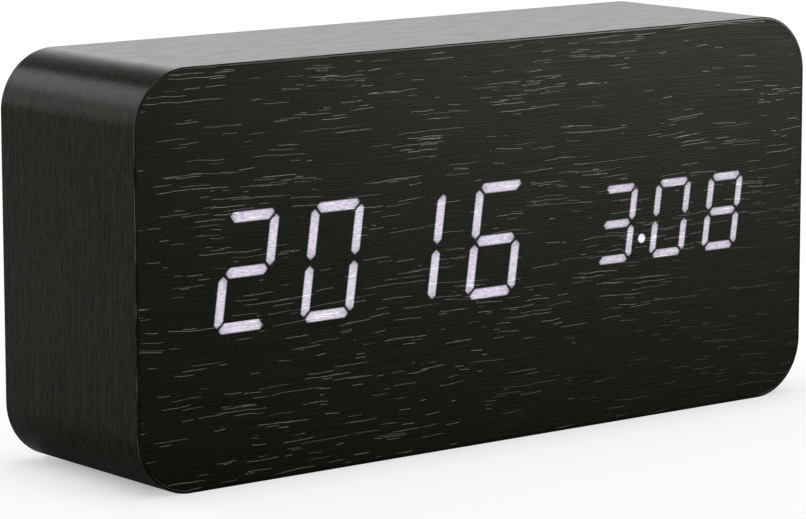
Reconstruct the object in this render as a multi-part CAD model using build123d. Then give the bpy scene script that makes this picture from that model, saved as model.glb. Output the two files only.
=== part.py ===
from build123d import *
from collections import namedtuple
import math
import os

# A wooden block clock whose seven-segment display shines through its front veneer.
# Millimetres. X is the width, Y the depth with the front at -Y, Z is up from the surface it stands on.
# The case is sized round what it holds: the digits set its width, the battery bay its height,
# and the stack from the front veneer to the battery door its depth.

# Wooden case
CASE_CORNER_RADIUS = 10.5
DISPLAY_SIDE_MARGIN = 13.5
PANEL_MARGIN = 6.4
INNER_ROOM = 13.95
VENEER_THICKNESS = 0.5
EDGE_ROUNDING = 0.2
FRONT_BOARD_THICKNESS = 3.0
REAR_BOARD_THICKNESS = 8.0
WALL_BOARD_THICKNESS = 5.0
DOWEL_DIAMETER = 2.5
DOWEL_DEPTH_IN_BLOCK = 3.5
DOWEL_DEPTH_IN_BOARD = 8.0
DOWEL_SPACING = 16.0
GLUE_GAP = 0.05
OVERRUN = 1.0

# Digits: 0.8 inch characters for the first group and 0.56 inch characters for the second
DIGIT_COUNT = 4
DIGIT_SLANT = 8.0
DIGIT_RISE = 0.6
DISPLAY_SHIFT = -0.2
LARGE_DIGIT_HEIGHT = 20.32
LARGE_DIGIT_PITCH = 17.9
LARGE_BAR_SPACING = 9.4
LARGE_BAR_WIDTH = 1.9
LARGE_DOT_DIAMETER = 2.3
LARGE_DOT_RISE = 4.5
SMALL_DIGIT_HEIGHT = 14.22
SMALL_DIGIT_PITCH = 12.85
SMALL_BAR_SPACING = 7.0
SMALL_BAR_WIDTH = 1.55
SMALL_DOT_DIAMETER = 1.8
SMALL_DOT_RISE = 3.2
BAR_GAP = 0.3
WAIST_GAP = 0.6
BAR_ROUNDING = 0.25
BAR_FIT = 0.05
TIP_LEAN_SHARE = 0.12
LIT_BARS = {
    "0": "abcdef",
    "1": "bc",
    "2": "abdeg",
    "3": "abcdg",
    "6": "acdefg",
    "8": "abcdefg",
    " ": "",
}
BAR_LETTERS = "abcdefg"

# Display module
DIFFUSER_THICKNESS = 0.3
WINDOW_CLEARANCE = 0.3
BLOCK_DEPTH = 8.0
BLOCK_MARGIN = 2.0
BLOCK_GAP = 0.2
LIGHT_GUIDE_DEPTH = 6.7
LED_SIZE = 1.0
LED_HEIGHT = 0.7
BOARD_THICKNESS = 1.6
DISPLAY_BOARD_MARGIN = 9.0
DISPLAY_BOARD_CLEARANCE = 1.0
DISPLAY_SCREW_INSET = 4.0
DISPLAY_SCREW_BITE = 2.4
SPACER_DIAMETER = 5.0

# Screws, all of one thread size
SCREW_DIAMETER = 1.9
SCREW_HOLE_FIT = 0.05
SCREW_PASS_FIT = 0.2
SCREW_HEAD_DIAMETER = 3.6
SCREW_HEAD_HEIGHT = 1.2
SCREW_CROSS_LENGTH = 2.2
SCREW_CROSS_WIDTH = 0.5
SCREW_CROSS_DEPTH = 0.7

# Electronics on the rear of the display board
CHIP_LENGTH = 17.9
CHIP_WIDTH = 7.5
CHIP_HEIGHT = 2.4
CHIP_STANDOFF = 0.15
CHIP_PITCH = 1.27
CHIP_PINS_PER_SIDE = 14
CHIP_LEG_WIDTH = 0.45
CHIP_LEG_THICKNESS = 0.25
CHIP_LEG_REACH = 1.4
CHIP_ROW_RISE = 8.0
CRYSTAL_DIAMETER = 2.0
CRYSTAL_LENGTH = 6.0
CRYSTAL_LEAD_DIAMETER = 0.4
CRYSTAL_LEAD_SPACING = 0.8
CRYSTAL_LEAD_RUN = 2.0
CAPACITOR_DIAMETER = 6.3
CAPACITOR_HEIGHT = 5.4
CAPACITOR_BASE_HEIGHT = 0.8
CAPACITOR_ROUNDING = 0.5
PART_SPACING = 18.0
RESISTOR_LENGTH = 2.0
RESISTOR_WIDTH = 1.25
RESISTOR_HEIGHT = 0.55
RESISTOR_PITCH = 3.0
RESISTOR_COLUMNS = 2
RESISTOR_ROWS = 8
RESISTOR_COLUMN_PITCH = 4.0
COIN_CELL_DIAMETER = 20.0
COIN_CELL_HEIGHT = 3.2
COIN_CELL_ROUNDING = 0.4
COIN_CELL_FIT = 0.15
COIN_HOLDER_WALL = 1.4
COIN_HOLDER_FLOOR = 0.8
COIN_CLIP_WIDTH = 5.0
COIN_CLIP_THICKNESS = 0.3

# Rear panel, its pocket in the wood and its screws
PANEL_THICKNESS = 2.6
PANEL_RECESS = 1.2
PANEL_RADIUS = 4.0
PANEL_FIT = 0.2
PANEL_LEDGE_X = 6.0
PANEL_LEDGE_Z = 5.0
PANEL_SCREW_INSET = 2.8
PANEL_SCREW_BITE = 3.5
OPENING_CLEARANCE = 0.3

# Control board behind the panel
CONTROL_BOARD_MARGIN = 3.5
CONTROL_TRAY_GAP = 1.3
BOSS_LENGTH = 5.9
BOSS_DIAMETER = 4.6
BOSS_EDGE = 1.2
BOSS_CLEARANCE = 2.2
BOSS_SCREW_BITE = 4.0
BUTTON_ROW_RISE = 10.0
SOCKET_ROW_DROP = 10.0

# Buttons and their switches
BUTTON_WIDTH = 9.0
BUTTON_HEIGHT = 6.0
BUTTON_PROUD = 0.9
BUTTON_FIT = 0.25
BUTTON_EDGE_ROUNDING = 0.4
BUTTON_RIM = 1.0
BUTTON_RIM_THICKNESS = 0.9
BUTTON_SPACING = 2.0
BUTTON_SLACK = 0.1
BUTTON_TRAVEL = 0.5
SYMBOL_SIZE = 1.3
SYMBOL_LINE = 0.5
SYMBOL_DEPTH = 0.25
SWITCH_SIZE = 6.0
SWITCH_HEIGHT = 3.5
SWITCH_EDGE = 0.4
PLUNGER_DIAMETER = 3.4
PLUNGER_DEPTH = 1.8
PLUNGER_FIT = 0.08
PLUNGER_STOP_GAP = 0.2

# Power socket
POWER_SHELL_WIDTH = 7.6
POWER_SHELL_HEIGHT = 2.9
POWER_SHELL_WALL = 0.3
POWER_SHELL_FLOOR = 0.6
POWER_SHELL_RADIUS = 0.7
POWER_SLOT_FIT = 0.2
POWER_TONGUE_WIDTH = 4.6
POWER_TONGUE_THICKNESS = 0.7
POWER_TONGUE_SETBACK = 0.9
POWER_CONTACT_COUNT = 5
POWER_CONTACT_WIDTH = 0.35
POWER_CONTACT_THICKNESS = 0.12
POWER_CONTACT_PITCH = 0.75
POWER_CONTACT_SETBACK = 0.4

# Buzzer, microphone and temperature sensor
BUZZER_DIAMETER = 9.6
BUZZER_HEIGHT = 5.2
BUZZER_ROUNDING = 0.4
BUZZER_PORT_DIAMETER = 2.0
BUZZER_PORT_DEPTH = 1.0
SOUND_HOLE_DIAMETER = 1.2
SOUND_HOLE_CIRCLE_DIAMETER = 5.6
SOUND_HOLE_COUNT = 6
MICROPHONE_DIAMETER = 6.0
MICROPHONE_HEIGHT = 2.7
MICROPHONE_ROUNDING = 0.3
SENSOR_BEAD_DIAMETER = 2.4
SENSOR_LEAD_DIAMETER = 0.5
SENSOR_LEAD_SPACING = 1.2
SENSOR_HEIGHT = 3.4
VENT_COUNT = 4
VENT_LENGTH = 9.0
VENT_WIDTH = 1.0
VENT_PITCH = 2.2
VENT_DROP = 1.0

# Ribbon cable between the two boards
RIBBON_WIDTH = 9.0
RIBBON_THICKNESS = 0.9
RIBBON_BEND_RADIUS = 2.6
RIBBON_OFFSET = 12.0
RIBBON_SOCKET_WALL = 1.2
RIBBON_SOCKET_DEPTH = 5.0
RIBBON_INSERTION = 2.5
RIBBON_FIT = 0.1

# Battery bay for four AAA cells
CELL_COUNT = 4
CELL_DIAMETER = 10.5
CELL_LENGTH = 44.5
CELL_NUB_DIAMETER = 3.8
CELL_NUB_LENGTH = 0.9
CELL_ROUNDING = 0.5
CELL_GAP = 0.3
CELL_FIT = 0.15
CELL_HEADROOM = 0.3
TRAY_WALL = 2.2
TRAY_FLOOR = 1.2
TRAY_CORNER_RADIUS = 1.5
CRADLE_SHARE = 0.45
PLATE_THICKNESS = 0.4
PLATE_INSET = 1.25
PLATE_RISE = 4.0
PLATE_FIT = 0.15
TAB_WIDTH = 3.0
TAB_DROP = 2.5
SPRING_LENGTH = 5.5
SPRING_WIRE = 0.6
SPRING_BASE_DIAMETER = 6.6
SPRING_TIP_DIAMETER = 4.8
SPRING_TURNS = 4
SPRING_SEAT_GAP = 0.02
LEAD_DIAMETER = 1.2
LEAD_PAD_INSET = 9.0
LEAD_BEND_SHARE = 0.45

# Battery door on two moulded pivots
DOOR_THICKNESS = 2.3
DOOR_LEDGE = 1.1
DOOR_GAP = 0.3
PIVOT_DIAMETER = 1.2
PIVOT_REACH = 1.0
PIVOT_FIT = 0.05
PIVOT_END_GAP = 0.2
LATCH_WIDTH = 12.0
LATCH_LENGTH = 7.0
LATCH_SLIT = 0.8
LATCH_BEAD_DIAMETER = 1.0
LATCH_BEAD_PROUD = 0.15
LATCH_BEAD_LENGTH = 8.0
GRIP_COUNT = 4
GRIP_PITCH = 1.6
GRIP_WIDTH = 0.8
GRIP_PROUD = 0.4
GRIP_LENGTH = 9.0
GRIP_INSET = 1.6
SCOOP_RADIUS = 6.0
SCOOP_DEPTH = 1.2

# Sizes of the whole case
DISPLAY_WIDTH = DIGIT_COUNT * (LARGE_DIGIT_PITCH + SMALL_DIGIT_PITCH)
CASE_WIDTH = DISPLAY_WIDTH + 2 * DISPLAY_SIDE_MARGIN
CELL_PITCH = CELL_DIAMETER + CELL_GAP
BAY_LENGTH = CELL_LENGTH + SPRING_LENGTH + 2 * PLATE_THICKNESS
BAY_HEIGHT = CELL_COUNT * CELL_PITCH
TRAY_LENGTH = BAY_LENGTH + 2 * TRAY_WALL
TRAY_HEIGHT = BAY_HEIGHT + 2 * TRAY_WALL
RIM_HALF_WIDTH = BUTTON_WIDTH / 2 + BUTTON_RIM
RIM_HALF_HEIGHT = BUTTON_HEIGHT / 2 + BUTTON_RIM
CONTROL_COLUMN_PITCH = 2 * RIM_HALF_WIDTH + BUTTON_SPACING
CONTROL_BOARD_WIDTH = 2 * (CONTROL_COLUMN_PITCH + RIM_HALF_WIDTH + CONTROL_BOARD_MARGIN)
BOSS_RISE = BUTTON_ROW_RISE + RIM_HALF_HEIGHT + BOSS_CLEARANCE + BOSS_DIAMETER / 2
BOSS_INSET = BOSS_DIAMETER / 2 + BOSS_EDGE
CONTROL_BOARD_HEIGHT = 2 * (BOSS_RISE + BOSS_INSET)
OPENING_WIDTH = CONTROL_BOARD_WIDTH + CONTROL_TRAY_GAP + TRAY_LENGTH + 2 * OPENING_CLEARANCE
OPENING_HEIGHT = max(TRAY_HEIGHT, CONTROL_BOARD_HEIGHT) + 2 * OPENING_CLEARANCE
PANEL_WIDTH = OPENING_WIDTH + 2 * PANEL_LEDGE_X
PANEL_HEIGHT = OPENING_HEIGHT + 2 * PANEL_LEDGE_Z
CASE_HEIGHT = PANEL_HEIGHT + 2 * PANEL_MARGIN
DISPLAY_STACK = VENEER_THICKNESS + DIFFUSER_THICKNESS + BLOCK_DEPTH + BOARD_THICKNESS
BAY_STACK = TRAY_FLOOR + CELL_FIT + CELL_DIAMETER + CELL_HEADROOM + DOOR_THICKNESS + PANEL_RECESS
CASE_DEPTH = DISPLAY_STACK + INNER_ROOM + BAY_STACK

# Planes from the front to the rear
Y_FRONT = -CASE_DEPTH / 2
Y_CORE_FRONT = Y_FRONT + VENEER_THICKNESS
Y_WALL_FRONT = Y_CORE_FRONT + FRONT_BOARD_THICKNESS
Y_BLOCK_FRONT = Y_CORE_FRONT + DIFFUSER_THICKNESS
Y_DISPLAY_BOARD = Y_BLOCK_FRONT + BLOCK_DEPTH
Y_DISPLAY_REAR = Y_DISPLAY_BOARD + BOARD_THICKNESS
Y_REAR = CASE_DEPTH / 2
Y_CORE_REAR = Y_REAR - VENEER_THICKNESS
Y_WALL_REAR = Y_CORE_REAR - REAR_BOARD_THICKNESS
Y_PANEL = Y_REAR - PANEL_RECESS
Y_PANEL_INNER = Y_PANEL - PANEL_THICKNESS
Y_CONTROL = Y_PANEL_INNER - BOSS_LENGTH
Y_CONTROL_FRONT = Y_CONTROL - BOARD_THICKNESS
Y_DOOR_INNER = Y_PANEL - DOOR_THICKNESS
Y_CELL = Y_DOOR_INNER - CELL_HEADROOM - CELL_DIAMETER / 2
Y_CRADLE = Y_CELL - CRADLE_SHARE * CELL_DIAMETER / 2
Y_TRAY = Y_CELL - CELL_DIAMETER / 2 - CELL_FIT - TRAY_FLOOR
Y_BUTTON_RIM = Y_PANEL_INNER - BUTTON_SLACK - BUTTON_RIM_THICKNESS

# Places across the width, from -X to +X
X_CAVITY = CASE_WIDTH / 2 - CASE_CORNER_RADIUS
X_DISPLAY = DISPLAY_SHIFT - DISPLAY_WIDTH / 2
X_SMALL_GROUP = X_DISPLAY + DIGIT_COUNT * LARGE_DIGIT_PITCH
X_CONTROL = -OPENING_WIDTH / 2 + OPENING_CLEARANCE
X_CONTROL_HIGH = X_CONTROL + CONTROL_BOARD_WIDTH
X_CONTROLS = X_CONTROL + CONTROL_BOARD_WIDTH / 2
X_TRAY = X_CONTROL_HIGH + CONTROL_TRAY_GAP
X_BAY = X_TRAY + TRAY_WALL
X_BAY_HIGH = X_BAY + BAY_LENGTH
X_DOOR = X_BAY - DOOR_LEDGE + DOOR_GAP
X_DOOR_HIGH = X_BAY_HIGH + DOOR_LEDGE - DOOR_GAP

# Heights
Z_MIDDLE = CASE_HEIGHT / 2
Z_DIGITS = Z_MIDDLE + DIGIT_RISE
Z_BUTTONS = Z_MIDDLE + BUTTON_ROW_RISE
Z_SOCKETS = Z_MIDDLE - SOCKET_ROW_DROP
Z_VENTS = Z_MIDDLE - VENT_DROP
DISPLAY_BLOCK_HEIGHT = LARGE_DIGIT_HEIGHT + 2 * BLOCK_MARGIN
DISPLAY_BOARD_HEIGHT = DISPLAY_BLOCK_HEIGHT + 2 * DISPLAY_BOARD_MARGIN
DOOR_HALF_HEIGHT = BAY_HEIGHT / 2 + DOOR_LEDGE - DOOR_GAP

DigitStyle = namedtuple("DigitStyle", "x height pitch spacing bar dot dot_rise text lit_dots")
LARGE = DigitStyle(X_DISPLAY, LARGE_DIGIT_HEIGHT, LARGE_DIGIT_PITCH, LARGE_BAR_SPACING, LARGE_BAR_WIDTH,
                   LARGE_DOT_DIAMETER, LARGE_DOT_RISE, "2016", ())
SMALL = DigitStyle(X_SMALL_GROUP, SMALL_DIGIT_HEIGHT, SMALL_DIGIT_PITCH, SMALL_BAR_SPACING, SMALL_BAR_WIDTH,
                   SMALL_DOT_DIAMETER, SMALL_DOT_RISE, " 308", (-1,))
SIGNS = (-1, 1)


# Basic shapes
def slab(outline, y_low, y_high):
    return extrude(Plane.XZ.offset(-y_low) * outline, amount=y_low - y_high)


def brick(low, high):
    size = [b - a for a, b in zip(low, high)]
    return Pos(*low) * Box(*size, align=(Align.MIN, Align.MIN, Align.MIN))


def rod_x(diameter, x_low, x_high, y, z):
    rod = Cylinder(diameter / 2, x_high - x_low, align=(Align.CENTER, Align.CENTER, Align.MIN))
    return Pos(x_low, y, z) * Rot(0, 90, 0) * rod


def rod_y(diameter, x, y_low, y_high, z):
    return slab(Pos(x, z) * Circle(diameter / 2), y_low, y_high)


def rod_z(diameter, x, y, z_low, z_high):
    rod = Cylinder(diameter / 2, z_high - z_low, align=(Align.CENTER, Align.CENTER, Align.MIN))
    return Pos(x, y, z_low) * rod


def end_edges(solid, axis, index):
    return solid.faces().sort_by(axis)[index].edges()


# A pan head screw with a cross recess. It points along -Y when reach is negative, along +Y otherwise.
def screw(x, z, y_seat, reach):
    out = -math.copysign(SCREW_HEAD_HEIGHT, reach)
    head = rod_y(SCREW_HEAD_DIAMETER, x, min(y_seat, y_seat + out), max(y_seat, y_seat + out), z)
    shank = rod_y(SCREW_DIAMETER, x, min(y_seat, y_seat + reach), max(y_seat, y_seat + reach), z)
    cross = Rectangle(SCREW_CROSS_LENGTH, SCREW_CROSS_WIDTH)
    cross += Rectangle(SCREW_CROSS_WIDTH, SCREW_CROSS_LENGTH)
    y_top = y_seat + out
    y_recess = y_top - math.copysign(SCREW_CROSS_DEPTH, out)
    recess = slab(Pos(x, z) * cross, min(y_top, y_recess), max(y_top, y_recess))
    return head + shank - recess


# Wooden case
def case_outline(inset):
    width = CASE_WIDTH - 2 * inset
    height = CASE_HEIGHT - 2 * inset
    return Pos(0, Z_MIDDLE) * RectangleRounded(width, height, CASE_CORNER_RADIUS - inset)


def dowel_rods(grow):
    y_middle = (Y_WALL_FRONT + Y_WALL_REAR) / 2
    z_low = VENEER_THICKNESS + WALL_BOARD_THICKNESS / 2
    x_inner = X_CAVITY - DOWEL_DEPTH_IN_BOARD - grow
    x_outer = X_CAVITY + DOWEL_DEPTH_IN_BLOCK + grow
    rods = []
    for side in SIGNS:
        for z in (z_low, CASE_HEIGHT - z_low):
            for step in SIGNS:
                y = y_middle + step * DOWEL_SPACING / 2
                ends = sorted((side * x_inner, side * x_outer))
                rods.append(rod_x(DOWEL_DIAMETER + 2 * grow, *ends, y, z))
    return rods


def side_block(side):
    core = slab(case_outline(VENEER_THICKNESS), Y_WALL_FRONT, Y_WALL_REAR)
    x_low, x_high = sorted((side * X_CAVITY, side * CASE_WIDTH / 2))
    keep = brick((x_low, Y_WALL_FRONT - OVERRUN, 0), (x_high, Y_WALL_REAR + OVERRUN, CASE_HEIGHT))
    return (core & keep) - dowel_rods(GLUE_GAP)


def wall_board(z_low):
    low = (-X_CAVITY, Y_WALL_FRONT, z_low)
    high = (X_CAVITY, Y_WALL_REAR, z_low + WALL_BOARD_THICKNESS)
    return brick(low, high) - dowel_rods(GLUE_GAP)


# The veneer round the block is one strip over the sides and the top, and a second strip underneath
def perimeter_veneer():
    skin = slab(case_outline(0), Y_FRONT, Y_REAR)
    edges = end_edges(skin, Axis.Y, 0) + end_edges(skin, Axis.Y, -1)
    skin = fillet(edges, EDGE_ROUNDING)
    return skin - slab(case_outline(VENEER_THICKNESS), Y_FRONT - OVERRUN, Y_REAR + OVERRUN)


def underside_zone():
    low = (-X_CAVITY, Y_FRONT - OVERRUN, -OVERRUN)
    return brick(low, (X_CAVITY, Y_REAR + OVERRUN, VENEER_THICKNESS + OVERRUN))


def display_window():
    width = DISPLAY_WIDTH + 2 * WINDOW_CLEARANCE
    height = DISPLAY_BLOCK_HEIGHT + 2 * WINDOW_CLEARANCE
    return Pos(DISPLAY_SHIFT, Z_DIGITS) * Rectangle(width, height)


def panel_pocket():
    width = PANEL_WIDTH + 2 * PANEL_FIT
    height = PANEL_HEIGHT + 2 * PANEL_FIT
    return Pos(0, Z_MIDDLE) * RectangleRounded(width, height, PANEL_RADIUS + PANEL_FIT)


def front_board():
    board = slab(case_outline(VENEER_THICKNESS) - display_window(), Y_CORE_FRONT, Y_WALL_FRONT)
    y_end = Y_WALL_FRONT - DISPLAY_SCREW_BITE - SCREW_HOLE_FIT
    for x, z in display_screw_places():
        board -= rod_y(SCREW_DIAMETER + 2 * SCREW_HOLE_FIT, x, y_end, Y_WALL_FRONT, z)
    return board


def rear_board():
    radius = TRAY_CORNER_RADIUS + OPENING_CLEARANCE
    opening = Pos(0, Z_MIDDLE) * RectangleRounded(OPENING_WIDTH, OPENING_HEIGHT, radius)
    board = slab(case_outline(VENEER_THICKNESS) - opening, Y_WALL_REAR, Y_CORE_REAR)
    board -= slab(panel_pocket(), Y_PANEL_INNER, Y_CORE_REAR + OVERRUN)
    y_end = Y_PANEL_INNER - PANEL_SCREW_BITE - SCREW_HOLE_FIT
    for x, z in panel_screw_places():
        board -= rod_y(SCREW_DIAMETER + 2 * SCREW_HOLE_FIT, x, y_end, Y_PANEL_INNER, z)
    return board


# Seven-segment bars, drawn upright about the middle of a digit and then slanted
def counter_clockwise(points):
    turns = zip(points, points[1:] + points[:1])
    area = sum(a[0] * b[1] - b[0] * a[1] for a, b in turns)
    return points if area > 0 else points[::-1]


def bar_points(style, letter, grow):
    half_bar = style.bar / 2 + grow
    across = style.spacing / 2
    rise = (style.height - style.bar) / 2
    setback = BAR_GAP / math.sqrt(2) - grow * math.sqrt(2)
    waist = WAIST_GAP / 2 - grow * math.sqrt(2)
    lean = TIP_LEAN_SHARE * style.bar
    if letter in "adg":
        row = {"a": 1, "g": 0, "d": -1}[letter]
        lean *= abs(row)
        half = [
            (across - setback - half_bar, -half_bar),
            (across - setback + lean, lean),
            (across - setback + 2 * lean - half_bar, half_bar),
        ]
        points = half + [(-x, z) for x, z in reversed(half)]
        flip = row or 1
        points = [(x, row * rise + flip * z) for x, z in points]
    else:
        side = 1 if letter in "bc" else -1
        level = 1 if letter in "bf" else -1
        points = [
            (across, waist),
            (across + half_bar, waist + half_bar),
            (across + half_bar, rise - setback + 2 * lean - half_bar),
            (across + lean, rise - setback + lean),
            (across - half_bar, rise - setback - half_bar),
            (across - half_bar, waist + half_bar),
        ]
        points = [(side * x, level * z) for x, z in points]
    return counter_clockwise(points)


def slanted(x_middle, points):
    lean = math.tan(math.radians(DIGIT_SLANT))
    return [(x_middle + x + z * lean, Z_DIGITS + z) for x, z in points]


def digit_middle(style, index):
    return style.x + (index + 1 / 2) * style.pitch


def dot_place(style, level):
    return slanted(style.x + DIGIT_COUNT * style.pitch / 2, [(0, level * style.dot_rise)])[0]


# Every light of a digit group: whether it is lit, the middle of its place and its outline
def lights(style, grow, rounding):
    found = []
    for index in range(DIGIT_COUNT):
        for letter in BAR_LETTERS:
            points = slanted(digit_middle(style, index), bar_points(style, letter, grow))
            middle = [sum(p[k] for p in points) / len(points) for k in (0, 1)]
            outline = Polygon(*points)
            if rounding:
                outline = fillet(outline.vertices(), rounding)
            found.append((letter in LIT_BARS[style.text[index]], middle, outline))
    for level in SIGNS:
        place = dot_place(style, level)
        found.append((level in style.lit_dots, place, Pos(*place) * Circle(style.dot / 2 + grow)))
    return found


def digit_block(style):
    width = DIGIT_COUNT * style.pitch
    height = style.height + 2 * BLOCK_MARGIN
    outline = Pos(style.x + width / 2, Z_DIGITS) * Rectangle(width - BLOCK_GAP, height)
    outline -= [light[2] for light in lights(style, BAR_FIT, 0)]
    return slab(outline, Y_BLOCK_FRONT, Y_DISPLAY_BOARD)


def light_guides(style, lit):
    outlines = [light[2] for light in lights(style, 0, BAR_ROUNDING) if light[0] == lit]
    return [slab(outline, Y_BLOCK_FRONT, Y_BLOCK_FRONT + LIGHT_GUIDE_DEPTH) for outline in outlines]


def segment_leds():
    places = [light[1] for style in (LARGE, SMALL) for light in lights(style, 0, 0)]
    chip = Rectangle(LED_SIZE, LED_SIZE)
    return [slab(Pos(*place) * chip, Y_DISPLAY_BOARD - LED_HEIGHT, Y_DISPLAY_BOARD) for place in places]


def diffuser_film():
    outline = Pos(DISPLAY_SHIFT, Z_DIGITS) * Rectangle(DISPLAY_WIDTH, DISPLAY_BLOCK_HEIGHT)
    return slab(outline, Y_CORE_FRONT, Y_BLOCK_FRONT)


# Display board and what it carries
def display_screw_places():
    x = X_CAVITY - DISPLAY_BOARD_CLEARANCE - DISPLAY_SCREW_INSET
    z = DISPLAY_BOARD_HEIGHT / 2 - DISPLAY_SCREW_INSET
    return [(i * x, Z_DIGITS + j * z) for i in SIGNS for j in SIGNS]


def display_board():
    width = 2 * (X_CAVITY - DISPLAY_BOARD_CLEARANCE)
    outline = Pos(0, Z_DIGITS) * Rectangle(width, DISPLAY_BOARD_HEIGHT)
    outline -= [Pos(*place) * Circle(SCREW_DIAMETER / 2 + SCREW_PASS_FIT) for place in display_screw_places()]
    return slab(outline, Y_DISPLAY_BOARD, Y_DISPLAY_REAR)


def board_spacers():
    tube = Circle(SPACER_DIAMETER / 2) - Circle(SCREW_DIAMETER / 2 + SCREW_PASS_FIT)
    return [slab(Pos(*place) * tube, Y_WALL_FRONT, Y_DISPLAY_BOARD) for place in display_screw_places()]


def display_screws():
    reach = Y_WALL_FRONT - DISPLAY_SCREW_BITE - Y_DISPLAY_REAR
    return [screw(x, z, Y_DISPLAY_REAR, reach) for x, z in display_screw_places()]


def chip(x, z):
    y_low = Y_DISPLAY_REAR + CHIP_STANDOFF
    y_knee = Y_DISPLAY_REAR + CHIP_STANDOFF + CHIP_HEIGHT / 2
    body = slab(Pos(x, z) * Rectangle(CHIP_LENGTH, CHIP_WIDTH), y_low, y_low + CHIP_HEIGHT)
    z_side = CHIP_WIDTH / 2
    z_knee = z_side + CHIP_LEG_REACH / 2
    z_foot = z_side + CHIP_LEG_REACH
    y_foot = Y_DISPLAY_REAR + CHIP_LEG_THICKNESS
    leg = [
        (Y_DISPLAY_REAR, z_foot),
        (y_foot, z_foot),
        (y_foot, z_knee),
        (y_knee, z_knee),
        (y_knee, z_side),
        (y_knee - CHIP_LEG_THICKNESS, z_side),
        (y_knee - CHIP_LEG_THICKNESS, z_knee - CHIP_LEG_THICKNESS),
        (Y_DISPLAY_REAR, z_knee - CHIP_LEG_THICKNESS),
    ]
    legs = []
    for side in SIGNS:
        profile = Polygon(*counter_clockwise([(y, z + side * reach) for y, reach in leg]))
        for index in range(CHIP_PINS_PER_SIDE):
            x_leg = x + (index - (CHIP_PINS_PER_SIDE - 1) / 2) * CHIP_PITCH
            plane = Plane.YZ.offset(x_leg - CHIP_LEG_WIDTH / 2)
            legs.append(extrude(plane * profile, amount=CHIP_LEG_WIDTH))
    return body + legs


def clock_crystal():
    x = PART_SPACING
    y = Y_DISPLAY_REAR + CRYSTAL_DIAMETER / 2
    z = Z_DIGITS + CHIP_ROW_RISE
    can = rod_x(CRYSTAL_DIAMETER, x, x + CRYSTAL_LENGTH, y, z)
    for step in SIGNS:
        z_lead = z + step * CRYSTAL_LEAD_SPACING / 2
        can += rod_x(CRYSTAL_LEAD_DIAMETER, x - CRYSTAL_LEAD_RUN, x + CRYSTAL_LEAD_RUN, y, z_lead)
    return can


def smoothing_capacitor():
    x = PART_SPACING + CRYSTAL_LENGTH / 2
    z = Z_DIGITS - CHIP_ROW_RISE
    y_base = Y_DISPLAY_REAR + CAPACITOR_BASE_HEIGHT
    base = slab(Pos(x, z) * Rectangle(CAPACITOR_DIAMETER, CAPACITOR_DIAMETER), Y_DISPLAY_REAR, y_base)
    can = rod_y(CAPACITOR_DIAMETER, x, y_base, Y_DISPLAY_REAR + CAPACITOR_HEIGHT, z)
    can = fillet(end_edges(can, Axis.Y, -1), CAPACITOR_ROUNDING)
    return base + can


def chip_resistors():
    chips = []
    for row in range(RESISTOR_ROWS):
        for column in range(RESISTOR_COLUMNS):
            x = -X_CAVITY + PART_SPACING + column * RESISTOR_COLUMN_PITCH
            z = Z_DIGITS + (row - (RESISTOR_ROWS - 1) / 2) * RESISTOR_PITCH
            outline = Pos(x, z) * Rectangle(RESISTOR_LENGTH, RESISTOR_WIDTH)
            chips.append(slab(outline, Y_DISPLAY_REAR, Y_DISPLAY_REAR + RESISTOR_HEIGHT))
    return chips


def coin_place():
    return X_CAVITY - PART_SPACING, Z_DIGITS


def coin_holder():
    x, z = coin_place()
    bore = COIN_CELL_DIAMETER + 2 * COIN_CELL_FIT
    y_floor = Y_DISPLAY_REAR + COIN_HOLDER_FLOOR
    y_rim = y_floor + COIN_CELL_HEIGHT
    cup = rod_y(bore + 2 * COIN_HOLDER_WALL, x, Y_DISPLAY_REAR, y_rim, z)
    return cup - rod_y(bore, x, y_floor, y_rim + OVERRUN, z)


def coin_cell():
    x, z = coin_place()
    y_floor = Y_DISPLAY_REAR + COIN_HOLDER_FLOOR
    cell = rod_y(COIN_CELL_DIAMETER, x, y_floor, y_floor + COIN_CELL_HEIGHT, z)
    return fillet(end_edges(cell, Axis.Y, -1), COIN_CELL_ROUNDING)


def coin_clip():
    x, z = coin_place()
    half = COIN_CELL_DIAMETER / 2 + COIN_CELL_FIT + COIN_HOLDER_WALL
    y_low = Y_DISPLAY_REAR + COIN_HOLDER_FLOOR + COIN_CELL_HEIGHT
    outer = half + COIN_CLIP_THICKNESS
    z_low = z - COIN_CLIP_WIDTH / 2
    z_high = z + COIN_CLIP_WIDTH / 2
    clip = brick((x - outer, y_low, z_low), (x + outer, y_low + COIN_CLIP_THICKNESS, z_high))
    for side in SIGNS:
        ends = sorted((x + side * half, x + side * outer))
        clip += brick((ends[0], Y_DISPLAY_REAR, z_low), (ends[1], y_low, z_high))
    return clip


# Ribbon cable and the two sockets that it plugs into
def ribbon_socket(y_low, y_high, z, y_mouth):
    width = RIBBON_WIDTH + 2 * RIBBON_FIT
    height = RIBBON_THICKNESS + 2 * RIBBON_FIT
    outer = Rectangle(width + 2 * RIBBON_SOCKET_WALL, height + 2 * RIBBON_SOCKET_WALL)
    body = slab(Pos(X_CONTROLS, z) * outer, y_low, y_high)
    inward = math.copysign(RIBBON_INSERTION + RIBBON_FIT, (y_low + y_high) / 2 - y_mouth)
    ends = sorted((y_mouth, y_mouth + inward))
    return body - slab(Pos(X_CONTROLS, z) * Rectangle(width, height), *ends)


def front_ribbon_socket():
    y_mouth = Y_DISPLAY_REAR + RIBBON_SOCKET_DEPTH
    return ribbon_socket(Y_DISPLAY_REAR, y_mouth, Z_DIGITS - RIBBON_OFFSET / 2, y_mouth)


def rear_ribbon_socket():
    y_mouth = Y_CONTROL_FRONT - RIBBON_SOCKET_DEPTH
    return ribbon_socket(y_mouth, Y_CONTROL_FRONT, Z_DIGITS + RIBBON_OFFSET / 2, y_mouth)


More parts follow.
